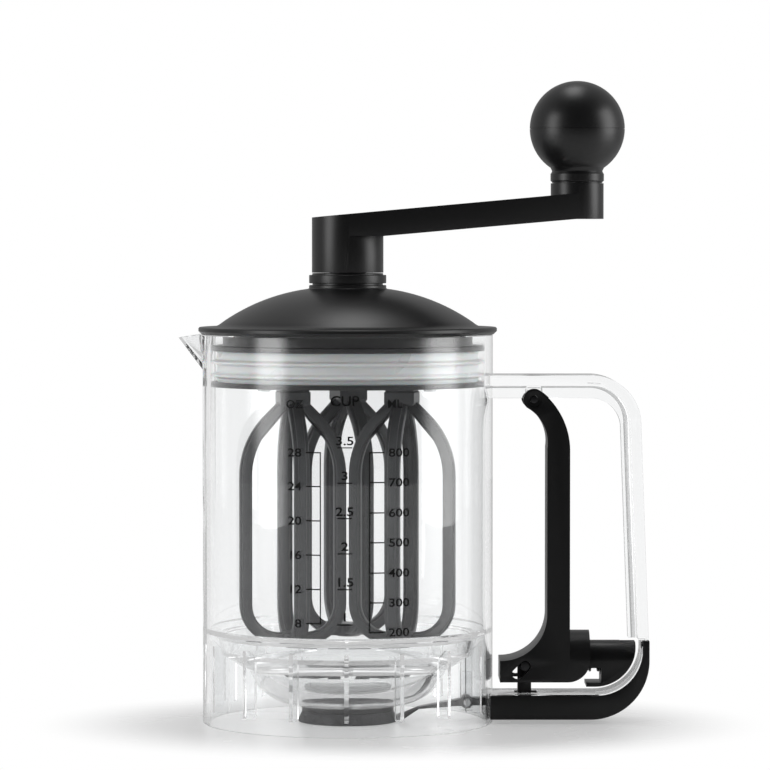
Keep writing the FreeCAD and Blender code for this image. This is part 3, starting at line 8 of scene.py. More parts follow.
import bpy
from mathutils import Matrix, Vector


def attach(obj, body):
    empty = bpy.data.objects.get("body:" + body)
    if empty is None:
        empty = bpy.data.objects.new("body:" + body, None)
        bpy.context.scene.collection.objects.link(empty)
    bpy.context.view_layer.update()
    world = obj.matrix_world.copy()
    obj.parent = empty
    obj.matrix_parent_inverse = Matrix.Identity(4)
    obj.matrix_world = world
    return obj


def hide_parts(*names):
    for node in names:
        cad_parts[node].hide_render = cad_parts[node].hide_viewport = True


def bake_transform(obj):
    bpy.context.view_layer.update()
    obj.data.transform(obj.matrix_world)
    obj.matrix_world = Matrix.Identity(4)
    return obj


LOG = logging.getLogger("mixer_jar")
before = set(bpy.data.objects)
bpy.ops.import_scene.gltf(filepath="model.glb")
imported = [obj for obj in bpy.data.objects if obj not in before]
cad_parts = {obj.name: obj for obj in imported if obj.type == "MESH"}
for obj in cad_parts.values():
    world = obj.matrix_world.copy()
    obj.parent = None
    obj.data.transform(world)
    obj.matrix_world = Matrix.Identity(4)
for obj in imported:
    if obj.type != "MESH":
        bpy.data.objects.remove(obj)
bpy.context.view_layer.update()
MM = 0.001

Point = tuple[float, float]
Sockets = dict[int | str, object]


class Body(str, Enum):
    """The rigid groups that the pieces ride on."""

    JAR = "jar_set"
    LID = "lid"
    CRANK = "crank"
    KNOB = "knob"
    LEVER = "lever"
    ROCKER = "rocker"


# ---------------------------------------------------------------- shared modelling steps


def clear_selection() -> None:
    """Leaves nothing selected, so that the next operator acts only on its own piece."""
    if bpy.context.mode != "OBJECT":
        bpy.ops.object.mode_set(mode="OBJECT")
    bpy.ops.object.select_all(action="DESELECT")


def take(piece: bpy.types.Object) -> None:
    """Selects one piece and makes it active.

    Args:
        piece: The piece that the next operators act on.
    """
    clear_selection()
    piece.select_set(True)
    bpy.context.view_layer.objects.active = piece


def edit_all(piece: bpy.types.Object) -> None:
    """Opens a piece for editing with all of it selected.

    Args:
        piece: The piece that the next mesh operators act on.
    """
    take(piece)
    bpy.ops.object.mode_set(mode="EDIT")
    bpy.ops.mesh.select_all(action="SELECT")


def close_edit() -> None:
    """Turns every face of the edited piece outward and ends the editing."""
    bpy.ops.mesh.select_all(action="SELECT")
    bpy.ops.mesh.normals_make_consistent(inside=False)
    bpy.ops.object.mode_set(mode="OBJECT")


def copy_of(piece: bpy.types.Object, name: str) -> bpy.types.Object:
    """Copies a piece, with a mesh of its own.

    Args:
        piece: The piece to copy.
        name: The copy's name.

    Returns:
        The copy, linked to the scene.
    """
    copy = bpy.data.objects.new(name, piece.data.copy())
    bpy.context.scene.collection.objects.link(copy)
    return copy


def swing(piece: bpy.types.Object, turn: float, shift: Vector = Vector()) -> None:
    """Turns a piece about the jar's axis, then shifts it, and leaves both in its mesh.

    Args:
        piece: The piece to set in place.
        turn: The turn to the left as seen from above, in degrees.
        shift: The move after the turn, in millimetres.
    """
    take(piece)
    bpy.ops.transform.rotate(value=-math.radians(turn), orient_axis="Z", center_override=(0, 0, 0))
    piece.location = shift * MM
    bpy.ops.object.transform_apply(location=True, rotation=True, scale=True)


def new_piece(name: str, points: list[Vector], edges: list, faces: list) -> bpy.types.Object:
    """Starts a piece at the origin from its own points, in millimetres.

    Args:
        name: The piece's name.
        points: Its points.
        edges: Pairs of point numbers.
        faces: Loops of point numbers.

    Returns:
        The new piece, linked to the scene.
    """
    mesh = bpy.data.meshes.new(name)
    mesh.from_pydata([Vector(p) * MM for p in points], edges, faces)
    piece = bpy.data.objects.new(name, mesh)
    bpy.context.scene.collection.objects.link(piece)
    return piece


def apply_all(piece: bpy.types.Object) -> None:
    """Applies every modifier of a piece, in order.

    Args:
        piece: The piece to finish.
    """
    take(piece)
    for modifier in list(piece.modifiers):
        bpy.ops.object.modifier_apply(modifier=modifier.name)


def smooth(piece: bpy.types.Object, angle: float = 32.0) -> None:
    """Shades a piece smooth, but for edges sharper than an angle.

    Args:
        piece: The piece to shade.
        angle: The limit, in degrees.
    """
    take(piece)
    bpy.ops.object.shade_smooth_by_angle(angle=math.radians(angle))


def soften_edges(piece: bpy.types.Object, width: float, segments: int = 3, angle: float = 32.0) -> None:
    """Rounds a piece's sharp edges with a bevel and shades it.

    Args:
        piece: The piece to finish.
        width: The width of the rounding, in millimetres.
        segments: How many faces cross it.
        angle: Edges sharper than this are rounded, in degrees.
    """
    bevel = piece.modifiers.new("soft_edges", "BEVEL")
    bevel.width = width * MM
    bevel.segments = segments
    bevel.limit_method = "ANGLE"
    bevel.angle_limit = math.radians(angle)
    bevel.use_clamp_overlap = True
    bevel.harden_normals = False
    apply_all(piece)
    smooth(piece)


def refined(node: str, width: float, segments: int = 3, name: str = "") -> bpy.types.Object:
    """Makes a finished copy of a solid of the frame, with clean faces and rounded edges.

    Args:
        node: The solid to copy.
        width: The rounding of its edges, in millimetres.
        segments: How many faces cross the rounding.
        name: The new piece's name, or the node's name with an ending.

    Returns:
        The finished copy, which stands for the solid.
    """
    piece = copy_of(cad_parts[node], name or f"{node}_body")
    piece.data.materials.clear()
    edit_all(piece)
    bpy.ops.mesh.remove_doubles(threshold=0.02 * MM)
    bpy.ops.mesh.dissolve_limited(angle_limit=math.radians(0.8))
    bpy.ops.object.mode_set(mode="OBJECT")
    if width > 0:
        soften_edges(piece, width, segments)
    else:
        smooth(piece)
    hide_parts(node)
    return piece


def arc(start: Point, end: Point, radius: float, turn: int, steps: int = 12) -> list[Point]:
    """Points along a short arc, its start left out.

    Args:
        start: Where the arc starts.
        end: Where it ends.
        radius: Its radius.
        turn: 1 if its centre lies to the left of the walk, -1 if to the right.
        steps: How many points to give.

    Returns:
        The points, its end the last.
    """
    a, b = Vector(start), Vector(end)
    chord = b - a
    rise = math.sqrt(max(radius * radius - chord.length_squared / 4, 0))
    centre = (a + b) / 2 + Vector((-chord.y, chord.x)).normalized() * rise * turn
    first = math.atan2(a.y - centre.y, a.x - centre.x)
    last = math.atan2(b.y - centre.y, b.x - centre.x)
    sweep = (last - first) % (2 * math.pi) if turn > 0 else -((first - last) % (2 * math.pi))
    turns = [first + sweep * step / steps for step in range(1, steps + 1)]
    return [(centre.x + radius * math.cos(t), centre.y + radius * math.sin(t)) for t in turns]


def round_corner(before: Point, corner: Point, after: Point, radius: float, steps: int = 4) -> list[Point]:
    """Points of a rounded corner.

    Args:
        before: The point before the corner.
        corner: The corner itself.
        after: The point after it.
        radius: The radius of the rounding.
        steps: How many faces cross it.

    Returns:
        The points that take the corner's place.
    """
    here = Vector(corner)
    back, ahead = (Vector(before) - here), (Vector(after) - here)
    angle = back.angle(ahead)
    if radius <= 0 or angle > math.radians(176):
        return [corner]
    reach = min(radius / math.tan(angle / 2), back.length * 0.48, ahead.length * 0.48)
    start, end = here + back.normalized() * reach, here + ahead.normalized() * reach
    points = []
    for step in range(steps + 1):
        t = step / steps
        spot = start * (1 - t) ** 2 + here * (2 * t * (1 - t)) + end * t ** 2
        points.append((spot.x, spot.y))
    return points


def rounded_loop(points: list[Point], radius: float, steps: int = 3, least: float = 25.0) -> list[Point]:
    """Rounds the sharp corners of a closed outline.

    Args:
        points: The outline.
        radius: The radius of each rounding.
        steps: How many faces cross it.
        least: Corners that turn by less than this many degrees stay.

    Returns:
        The outline with its corners rounded.
    """
    made: list[Point] = []
    count = len(points)
    for index, corner in enumerate(points):
        before, after = points[index - 1], points[(index + 1) % count]
        bend = (Vector(corner) - Vector(before)).angle(Vector(after) - Vector(corner))
        if math.degrees(bend) < least:
            made.append(corner)
        else:
            made += round_corner(before, corner, after, radius, steps)
    return made


def turned(name: str, outline: list[Point], axis: Point = (0.0, 0.0), steps: int = 160) -> bpy.types.Object:
    """Spins a closed half section about an upright axis.

    Args:
        name: The piece's name.
        outline: The half section, as distance from the axis and level.
        axis: Where the axis stands.
        steps: How many faces go round.

    Returns:
        The closed, smooth shaded piece.
    """
    points = [Vector((axis[0] + max(reach, 0.0), axis[1], level)) for reach, level in outline]
    count = len(points)
    edges = [(index, (index + 1) % count) for index in range(count)
             if outline[index][0] > 0 or outline[(index + 1) % count][0] > 0]
    piece = new_piece(name, points, edges, [])
    edit_all(piece)
    bpy.ops.mesh.spin(steps=steps, angle=2 * math.pi, center=(axis[0] * MM, axis[1] * MM, 0), axis=(0, 0, 1))
    bpy.ops.mesh.select_all(action="SELECT")
    bpy.ops.mesh.remove_doubles(threshold=0.005 * MM)
    close_edit()
    smooth(piece)
    return piece


def side_plate(name: str, outline: list[Point], half_width: float) -> bpy.types.Object:
    """Extrudes an outline of the side plane to both sides of it.

    Args:
        name: The piece's name.
        outline: Points across and up.
        half_width: Half the plate's thickness.

    Returns:
        The closed plate.
    """
    points = [Vector((across, -half_width, up)) for across, up in outline]
    piece = new_piece(name, points, [], [tuple(range(len(points)))])
    edit_all(piece)
    bpy.ops.mesh.extrude_region_move(TRANSFORM_OT_translate={"value": (0, 2 * half_width * MM, 0)})
    close_edit()
    return piece


def hull(name: str, points: list[tuple]) -> bpy.types.Object:
    """Wraps a closed skin of flat faces round points.

    Args:
        name: The piece's name.
        points: The corners, in millimetres.

    Returns:
        The closed skin.
    """
    piece = new_piece(name, points, [], [])
    edit_all(piece)
    bpy.ops.mesh.convex_hull()
    close_edit()
    return piece


def merge_solids(piece: bpy.types.Object, others: list[bpy.types.Object], operation: str = "UNION") -> None:
    """Joins or cuts closed pieces into one closed piece, and removes the tools.

    Args:
        piece: The piece that stays.
        others: The pieces joined to it or cut from it.
        operation: UNION or DIFFERENCE.
    """
    for other in others:
        step = piece.modifiers.new("joined", "BOOLEAN")
        step.operation = operation
        step.solver = "EXACT"
        step.object = other
        apply_all(piece)
        bpy.data.objects.remove(other)


def join(pieces: list[bpy.types.Object], name: str) -> bpy.types.Object:
    """Makes several pieces one, without a change to their shapes.

    Args:
        pieces: The pieces to join.
        name: The name of the result.

    Returns:
        The joined piece.
    """
    clear_selection()
    for piece in pieces:
        piece.select_set(True)
    bpy.context.view_layer.objects.active = pieces[0]
    bpy.ops.object.join()
    pieces[0].name = name
    return pieces[0]


# ---------------------------------------------------------------- finishes


class NodeSheet:
    """Short hand for building one node tree."""

    def __init__(self, tree: bpy.types.NodeTree) -> None:
        """Starts on a tree."""
        self.tree = tree

    def feed(self, node: bpy.types.Node, sockets: Sockets) -> None:
        """Fills sockets of a node.

        Args:
            node: The node.
            sockets: For each socket's name or number, the output that feeds it, or its steady value.
        """
        for key, value in sockets.items():
            if isinstance(value, bpy.types.NodeSocket):
                self.tree.links.new(value, node.inputs[key])
            else:
                node.inputs[key].default_value = value

    def add(self, kind: str, sockets: Sockets | None = None, **settings: object) -> bpy.types.Node:
        """Adds a node.

        Args:
            kind: The node's type.
            sockets: What its sockets hold, as for feed.
            **settings: Its properties.

        Returns:
            The new node.
        """
        made = self.tree.nodes.new(kind)
        for key, value in settings.items():
            setattr(made, key, value)
        self.feed(made, sockets or {})
        return made


def moulded_surface_group() -> bpy.types.ShaderNodeTree:
    """Builds the shared group for moulded plastic, rubber and metal.

    Returns:
        A group that gives a mottled colour, an uneven roughness and a fine grain height.
    """
    group = bpy.data.node_groups.new("moulded_surface", "ShaderNodeTree")
    for name, side, kind in (("Vector", "INPUT", "Vector"), ("Color", "INPUT", "Color"),
                             ("Mottle", "INPUT", "Float"), ("Roughness", "INPUT", "Float"),
                             ("Spread", "INPUT", "Float"), ("Grain Scale", "INPUT", "Float"),
                             ("Color", "OUTPUT", "Color"), ("Roughness", "OUTPUT", "Float"),
                             ("Height", "OUTPUT", "Float")):
        group.interface.new_socket(name, in_out=side, socket_type=f"NodeSocket{kind}")
    sheet = NodeSheet(group)
    inlet, outlet = sheet.add("NodeGroupInput").outputs, sheet.add("NodeGroupOutput")
    cloud = sheet.add("ShaderNodeTexNoise", {"Vector": inlet["Vector"], "Scale": 38.0, "Detail": 4.0,
                                             "Roughness": 0.55})
    grain = sheet.add("ShaderNodeTexNoise", {"Vector": inlet["Vector"], "Scale": inlet["Grain Scale"],
                                             "Detail": 3.0, "Roughness": 0.65})
    flow = sheet.add("ShaderNodeTexNoise", {"Vector": inlet["Vector"], "Scale": 9.0, "Detail": 2.0,
                                            "Distortion": 1.2})
    shade = sheet.add("ShaderNodeMath", {0: cloud.outputs["Fac"], 1: 0.5}, operation="SUBTRACT")
    shade = sheet.add("ShaderNodeMath", {0: shade.outputs[0], 1: inlet["Mottle"], 2: 1.0},
                      operation="MULTIPLY_ADD")
    tint = sheet.add("ShaderNodeVectorMath", operation="SCALE")
    sheet.feed(tint, {0: inlet["Color"], "Scale": shade.outputs[0]})
    rough = sheet.add("ShaderNodeMath", {0: flow.outputs["Fac"], 1: 0.5}, operation="SUBTRACT")
    rough = sheet.add("ShaderNodeMath", {0: rough.outputs[0], 1: inlet["Spread"], 2: inlet["Roughness"]},
                      operation="MULTIPLY_ADD", use_clamp=True)
    sheet.feed(outlet, {"Color": tint.outputs[0], "Roughness": rough.outputs[0],
                        "Height": grain.outputs["Fac"]})
    return group


@dataclass(frozen=True)
class Finish:
    """One material: its colour, its gloss and its fine moulded grain."""

    name: str
    slot: str
    color: tuple[float, float, float]
    roughness: float
    spread: float = 0.08
    mottle: float = 0.12
    grain_scale: float = 1500.0
    grain_depth: float = 0.00002
    grain_strength: float = 0.25
    metallic: float = 0.0
    transmission: float = 0.0
    ior: float = 1.5
    specular: float = 0.5
    subsurface: float = 0.0
    shadow: float = 1.0
    caught_after: float = 3.5
    painted_glow: float = 0.30

    def build(self, group: bpy.types.ShaderNodeTree) -> bpy.types.Material:
        """Builds the material.

        Args:
            group: The shared surface group.

        Returns:
            The finished material.
        """
        material = bpy.data.materials.new(self.name)
        material.use_nodes = True
        material.diffuse_color = (*self.color, 1.0)
        sheet = NodeSheet(material.node_tree)
        place = sheet.add("ShaderNodeTexCoord").outputs["Object"]
        surface = sheet.add("ShaderNodeGroup", node_tree=group)
        sheet.feed(surface, {"Vector": place, "Color": (*self.color, 1.0), "Mottle": self.mottle,
                             "Roughness": self.roughness, "Spread": self.spread,
                             "Grain Scale": self.grain_scale})
        bump = sheet.add("ShaderNodeBump", {"Strength": self.grain_strength, "Distance": self.grain_depth,
                                            "Height": surface.outputs["Height"]})
        shader = material.node_tree.nodes["Principled BSDF"]
        sheet.feed(shader, {"Base Color": surface.outputs["Color"], "Roughness": surface.outputs["Roughness"],
                            "Normal": bump.outputs["Normal"], "Metallic": self.metallic, "IOR": self.ior,
                            "Specular IOR Level": self.specular, "Transmission Weight": self.transmission,
                            "Subsurface Weight": self.subsurface, "Subsurface Scale": 0.004})
        if self.shadow < 1.0:
            self.clear_up(sheet, shader)
            material.cycles.emission_sampling = "NONE"
        return material

    def clear_up(self, sheet: NodeSheet, shader: bpy.types.Node) -> None:
        """Lets most of the lamps' light through a clear piece, and paints a faint grey glow on it wherever a
        ray has bounced more than three times inside its walls.

        Args:
            sheet: The material's node tree.
            shader: The material's shader.
        """
        path = sheet.add("ShaderNodeLightPath").outputs
        cover = sheet.add("ShaderNodeMath", {0: path["Is Shadow Ray"], 1: self.shadow - 1.0, 2: 1.0},
                          operation="MULTIPLY_ADD")
        # Painted light: past three glossy bounces the clear plastic gives off a grey glow of 0.30, in place
        # of light the renderer would stop.
        caught = sheet.add("ShaderNodeMath", {0: path["Glossy Depth"], 1: self.caught_after},
                           operation="GREATER_THAN")
        glow = sheet.add("ShaderNodeMath", {0: caught.outputs[0], 1: self.painted_glow}, operation="MULTIPLY")
        sheet.feed(shader, {"Alpha": cover.outputs[0], "Emission Color": glow.outputs[0],
                            "Emission Strength": 1.0})


FINISHES = {
    "clear": Finish("clear_plastic", "clear_plastic", (0.955, 0.96, 0.962), 0.012, 0.015, 0.01, 60.0, 0.00004,
                    0.12, transmission=1.0, ior=1.49, specular=0.25, shadow=0.12),
    "black": Finish("satin_black", "black_plastic", (0.0065, 0.0065, 0.0070), 0.35, 0.08, 0.25,
                    specular=0.55),
    "grip": Finish("lever_black", "black_plastic", (0.0055, 0.0055, 0.0060), 0.33, 0.08, 0.25, specular=0.45),
    "whisk": Finish("whisk_grey", "grey_plastic", (0.052, 0.054, 0.057), 0.40, 0.10, 0.20),
    "silicone": Finish("milky_silicone", "silicone", (0.87, 0.875, 0.875), 0.28, 0.06, 0.03, 700.0,
                       transmission=0.12, ior=1.41, subsurface=0.3),
    "rubber": Finish("soft_rubber", "rubber", (0.030, 0.030, 0.032), 0.62, 0.12, 0.30, 900.0),
    "steel": Finish("drawn_steel", "steel", (0.58, 0.585, 0.59), 0.28, 0.12, 0.10, 2600.0, metallic=1.0),
    "pin": Finish("blackened_steel", "steel", (0.050, 0.050, 0.052), 0.34, 0.10, 0.15, 2600.0, metallic=1.0),
    "ink": Finish("scale_ink", "black_plastic", (0.003, 0.003, 0.003), 0.50, 0.05, 0.10, specular=0.2),
}


@dataclass
class PaintBox:
    """Builds each finish once and puts it on pieces."""

    group: bpy.types.ShaderNodeTree = field(default_factory=moulded_surface_group)
    made: dict = field(default_factory=dict)

    def dress(self, piece: bpy.types.Object, finish: str) -> None:
        """Gives a piece one finish all over.

        Args:
            piece: The piece to dress.
            finish: The finish's key.
        """
        if finish not in self.made:
            self.made[finish] = FINISHES[finish].build(self.group)
        piece.data.materials.clear()
        piece.data.materials.append(self.made[finish])
        piece.data.polygons.foreach_set("material_index", [0] * len(piece.data.polygons))

    def place(self, piece: bpy.types.Object, finish: str, body: Body | str) -> None:
        """Dresses a piece and lets it ride on a body.

        Args:
            piece: The piece.
            finish: The finish's key.
            body: The body it moves with.
        """
        self.dress(piece, finish)
        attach(piece, body.value if isinstance(body, Body) else body)
        LOG.info("%s: %s, %d faces", piece.name, finish, len(piece.data.polygons))

    def stand_in(self, piece: bpy.types.Object, node: str, finish: str, body: Body | str) -> None:
        """Puts a newly made piece in the place of a solid of the frame.

        Args:
            piece: The piece.
            node: The solid that it stands for.
            finish: The finish's key.
            body: The body it moves with.
        """
        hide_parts(node)
        self.place(piece, finish, body)


# ---------------------------------------------------------------- the jar


@dataclass
class ClearJar:
    """The clear moulding: jar wall, stepped bowl, ribbed skirt, pouring lip and handle."""

    paint: PaintBox
    radius: float = 56.0
    bore: float = 53.3
    height: float = 149.8
    skirt_bore: float = 53.6
    bowl: Point = (34.3, 24.3)
    floor: float = 18.4
    rib_reach: float = 48.4
    rib_top: float = 31.0
    rib_foot: float = 5.5
    rib_count: int = 16
    pin_reach: float = 46.0
    pin_level: float = 7.8
    pin_radius: float = 1.5

    def wall_outline(self) -> list[Point]:
        """The half section of the jar, from the rim round to the skirt's foot.

        Returns:
            Points of the closed outline.
        """
        inside = [(self.bore, self.height - 0.4), (self.bore, 37.0), (47.7, 34.4), (46.4, 28.5), self.bowl]
        inside += arc(self.bowl, (self.floor, 12.2), 16.4, -1, 16)
        inside += [(0.0, 10.4), (0.0, 6.6), (self.floor, 6.6)]
        under = arc((self.floor, 6.6), (38.8, 20.4), 22.0, 1, 16)
        under += [(48.8, 26.7), (50.1, 32.96), (self.skirt_bore, 35.08), (self.skirt_bore, 0.0)]
        rim = [(self.radius, 0.0), (self.radius, self.height - 0.4), (self.radius - 0.4, self.height),
               (self.bore + 0.4, self.height)]
        return rim + inside + under

    def rib(self, turn: float) -> bpy.types.Object:
        """One upright rib inside the skirt.

        Args:
            turn: Where it stands round the jar, in degrees.

        Returns:
            The rib.
        """
        sunk, inner, top, foot = self.skirt_bore + 0.8, self.rib_reach, self.rib_top, self.rib_foot
        rib = side_plate("rib", [(sunk, foot), (sunk, top), (inner + 3.6, top), (inner, top - 3.6),
                                 (inner, foot + 0.6), (inner + 0.6, foot)], 0.8)
        swing(rib, turn)
        return rib

    def lip_skin(self, name: str, inset: float, back: float, top: float, foot: float) -> bpy.types.Object:
        """The outer skin of the pouring lip, or the channel inside it.

        Args:
            name: The piece's name.
            inset: How far in from the lip's outer skin.
            back: How far from the axis it reaches back.
            top: The level of its mouth.
            foot: The level of its lower point.

        Returns:
            A closed, pointed skin.
        """
        tip, half, heel = 66.3 - 2 * inset, 12.0 - inset, 56.2 - inset
        points = []
        for reach, side, level in ((tip, half, top), (heel, 1.2, foot)):
            nose = 0.9 if half == side else 0.5
            for turn in range(-60, 61, 20):
                bow = math.radians(turn)
                points.append((-(reach - nose + nose * math.cos(bow)), nose * math.sin(bow), level))
            points += [(-back, side, level), (-back, -side, level)]
        return hull(name, points)

    def lip_slope(self) -> bpy.types.Object:
        """The wedge that slopes the lip's rim down to its tip.

        Returns:
            The wedge to cut away.
        """
        points = [(across, side, up) for side in (-13, 13)
                  for across, up in ((-67.3, 148.15), (-57.0, 149.85), (-57.0, 153.0), (-67.3, 153.0))]
        return hull("lip_slope", points)

    def rocker_bay(self, wall: bpy.types.Object) -> None:
        """Opens the skirt for the rocker and hangs its two ears under the bowl.

        Args:
            wall: The jar's wall, which is changed.
        """
        window = side_plate("rocker_window", [(49.0, 3.0), (57.0, 3.0), (57.0, 10.4), (49.0, 10.4)], 3.6)
        merge_solids(wall, [window], "DIFFERENCE")
        ears = side_plate("ears", [(43.0, 4.8), (48.1, 4.8), (48.1, 28.5), (45.4, 27.1), (43.0, 24.8)], 6.2)
        merge_solids(wall, [ears])
        gap = side_plate("ear_gap", [(42.0, 3.0), (49.5, 3.0), (49.5, 19.5), (42.0, 19.5)], 3.6)
        hole = [(self.pin_reach + self.pin_radius * math.cos(step * math.pi / 12),
                 self.pin_level + self.pin_radius * math.sin(step * math.pi / 12)) for step in range(24)]
        bore = side_plate("ear_bore", hole, 7.2)
        pilot = turned("cup_pilot", [(0.0, 5.6), (1.4, 5.6), (1.4, 9.4), (0.0, 9.4)], steps=32)
        merge_solids(wall, [gap, bore, pilot], "DIFFERENCE")

    def handle(self) -> bpy.types.Object:
        """The T section handle, its root sunk a little into the wall so that the two make one moulding.

        Returns:
            The handle.
        """
        handle = refined("handle", 0.35, name="handle_root")
        for vertex in handle.data.vertices:
            reach = math.hypot(vertex.co.x, vertex.co.y)
            if abs(reach - self.radius * MM) < 0.25 * MM:
                vertex.co.xy *= (self.radius - 0.9) * MM / reach
        return handle

    def build(self) -> None:
        """Builds the clear moulding."""
        wall = turned("clear_jar", self.wall_outline(), steps=224)
        merge_solids(wall, [self.lip_skin("lip", 0.0, 53.8, self.height + 0.03, self.height - 13.5)])
        merge_solids(wall, [self.lip_skin("lip_channel", 0.9, 51.8, self.height + 0.3, self.height - 11.0),
                            self.lip_slope()], "DIFFERENCE")
        merge_solids(wall, [self.rib(360 / self.rib_count * index) for index in range(self.rib_count)])
        self.rocker_bay(wall)
        merge_solids(wall, [self.handle()])
        smooth(wall, 24.0)
        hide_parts("jar", "handle")
        self.paint.place(wall, "clear", Body.JAR)


# ---------------------------------------------------------------- printed scales


@dataclass
class PrintedScales:
    """Three measuring scales printed on the jar's front in black."""

    paint: PaintBox
    radius: float = 56.0
    proud: float = 0.03
    ink_depth: float = 0.04
    line_width: float = 0.45
    letters: float = 3.05
    cup_digits: float = 3.15
    cup_word: float = 3.7

    def wrap(self, piece: bpy.types.Object) -> None:
        """Lays a flat piece of the front plane onto the jar's wall.

        Args:
            piece: Print in the plane y = 0, its depth along -Y.
        """
        for vertex in piece.data.vertices:
            spot = vertex.co
            reach = (self.radius + self.proud) * MM - spot.y
            turn = spot.x / (self.radius * MM)
            vertex.co = Vector((reach * math.sin(turn), -reach * math.cos(turn), spot.z))

    def level(self, row: float) -> float:
        """The level on the wall of a row of the printed artwork, whose rows count down from its top."""
        return 184.5 - (row - 244.0) * 0.3717

    def along(self, across: float) -> float:
        """The distance round the wall of a point seen at a distance from the middle."""
        return self.radius * math.asin(across / self.radius)

    def word(self, text: str, across: float, level: float, height: float, align: str) -> bpy.types.Object:
        """One printed word or number.

        Args:
            text: What it says.
            across: Its anchor, as seen from the front.
            level: The middle of its capitals.
            height: The height of its capitals.
            align: LEFT, CENTER or RIGHT.

        Returns:
            The flat piece, before it is laid on the wall.
        """
        clear_selection()
        bpy.ops.object.text_add(rotation=(math.pi / 2, 0, 0))
        piece = bpy.context.object
        piece.data.body = text
        piece.data.size = height / 0.7 * MM
        piece.data.offset = 0.06 * MM
        piece.data.align_x = align
        piece.data.extrude = self.ink_depth / 2 * MM
        piece.data.resolution_u = 4
        piece.location = (self.along(across) * MM, 0, (level - height / 2) * MM)
        piece.scale.x = 1.08 if text.isalpha() else 1.28
        bpy.ops.object.convert(target="MESH")
        bpy.ops.object.transform_apply(location=True, rotation=True, scale=True)
        return piece

    def bar(self, left: float, right: float, low: float, high: float) -> bpy.types.Object:
        """One printed line.

        Args:
            left: Its left edge, as seen from the front.
            right: Its right edge.
            low: Its lower edge.
            high: Its upper edge.

        Returns:
            The flat piece, before it is laid on the wall.
        """
        start, end = self.along(left), self.along(right)
        clear_selection()
        columns = max(2, round((end - start) / 0.8))
        bpy.ops.mesh.primitive_grid_add(x_subdivisions=columns, y_subdivisions=2, size=MM,
                                        location=((start + end) / 2 * MM, 0, (low + high) / 2 * MM),
                                        rotation=(math.pi / 2, 0, 0))
        piece = bpy.context.object
        piece.scale = (end - start, high - low, 1)
        bpy.ops.object.transform_apply(location=True, rotation=True, scale=True)
        edit_all(piece)
        bpy.ops.mesh.extrude_region_move(TRANSFORM_OT_translate={"value": (0, -self.ink_depth * MM, 0)})
        close_edit()
        return piece

    def ladder(self, rail: float, tick_end: float, labels: list[str], levels: list[float]) -> list:
        """An upright line with a tick and a number at each level.

        Args:
            rail: Where the upright line stands.
            tick_end: Where the ticks end.
            labels: The numbers.
            levels: The level of each.

        Returns:
            The flat pieces.
        """
        half = self.line_width / 2
        toward = 1 if tick_end > rail else -1
        pieces = [self.bar(rail - half, rail + half, min(levels) - half, max(levels) + half)]
        for label, level in zip(labels, levels):
            pieces.append(self.bar(min(rail, tick_end), max(rail, tick_end), level - half, level + half))
            pieces.append(self.word(label, tick_end + 1.6 * toward, level, self.letters,
                                    "LEFT" if toward > 0 else "RIGHT"))
        return pieces

    def build(self) -> None:
        """Builds the three scales as one printed piece each."""
        ounces = self.ladder(-9.7, -15.1, ["28", "24", "20", "16", "12", "8"],
                             [self.level(row) for row in (453, 487, 521.5, 556, 590.5, 625)])
        ounces.append(self.word("OZ", -19.4, self.level(404.5), self.letters, "CENTER"))
        cups = []
        for text, middle, under in (("3.5", 441, 448), ("3", 476, 483.5), ("2.5", 512, 519),
                                    ("2", 547, 554.5), ("1.5", 583, 590.5), ("1", 618, 626)):
            cups.append(self.word(text, -0.6, self.level(middle), self.cup_digits, "CENTER"))
            cups.append(self.bar(-3.4, 2.2, self.level(under) - 0.2, self.level(under) + 0.2))
        cups.append(self.word("CUP", -0.6, self.level(401), self.cup_word, "CENTER"))
        litres = self.ladder(8.7, 14.1, ["800", "700", "600", "500", "400", "300", "200"],
                             [self.level(row) for row in (453, 483, 513.5, 543.5, 574, 604, 634)])
        litres.append(self.word("ML", 18.1, self.level(404), self.letters, "CENTER"))
        for name, pieces in (("scale_ounces", ounces), ("scale_cups", cups), ("scale_millilitres", litres)):
            scale = join(pieces, name)
            self.wrap(scale)
            self.paint.place(scale, "ink", Body.JAR)


# ---------------------------------------------------------------- lid and its plug


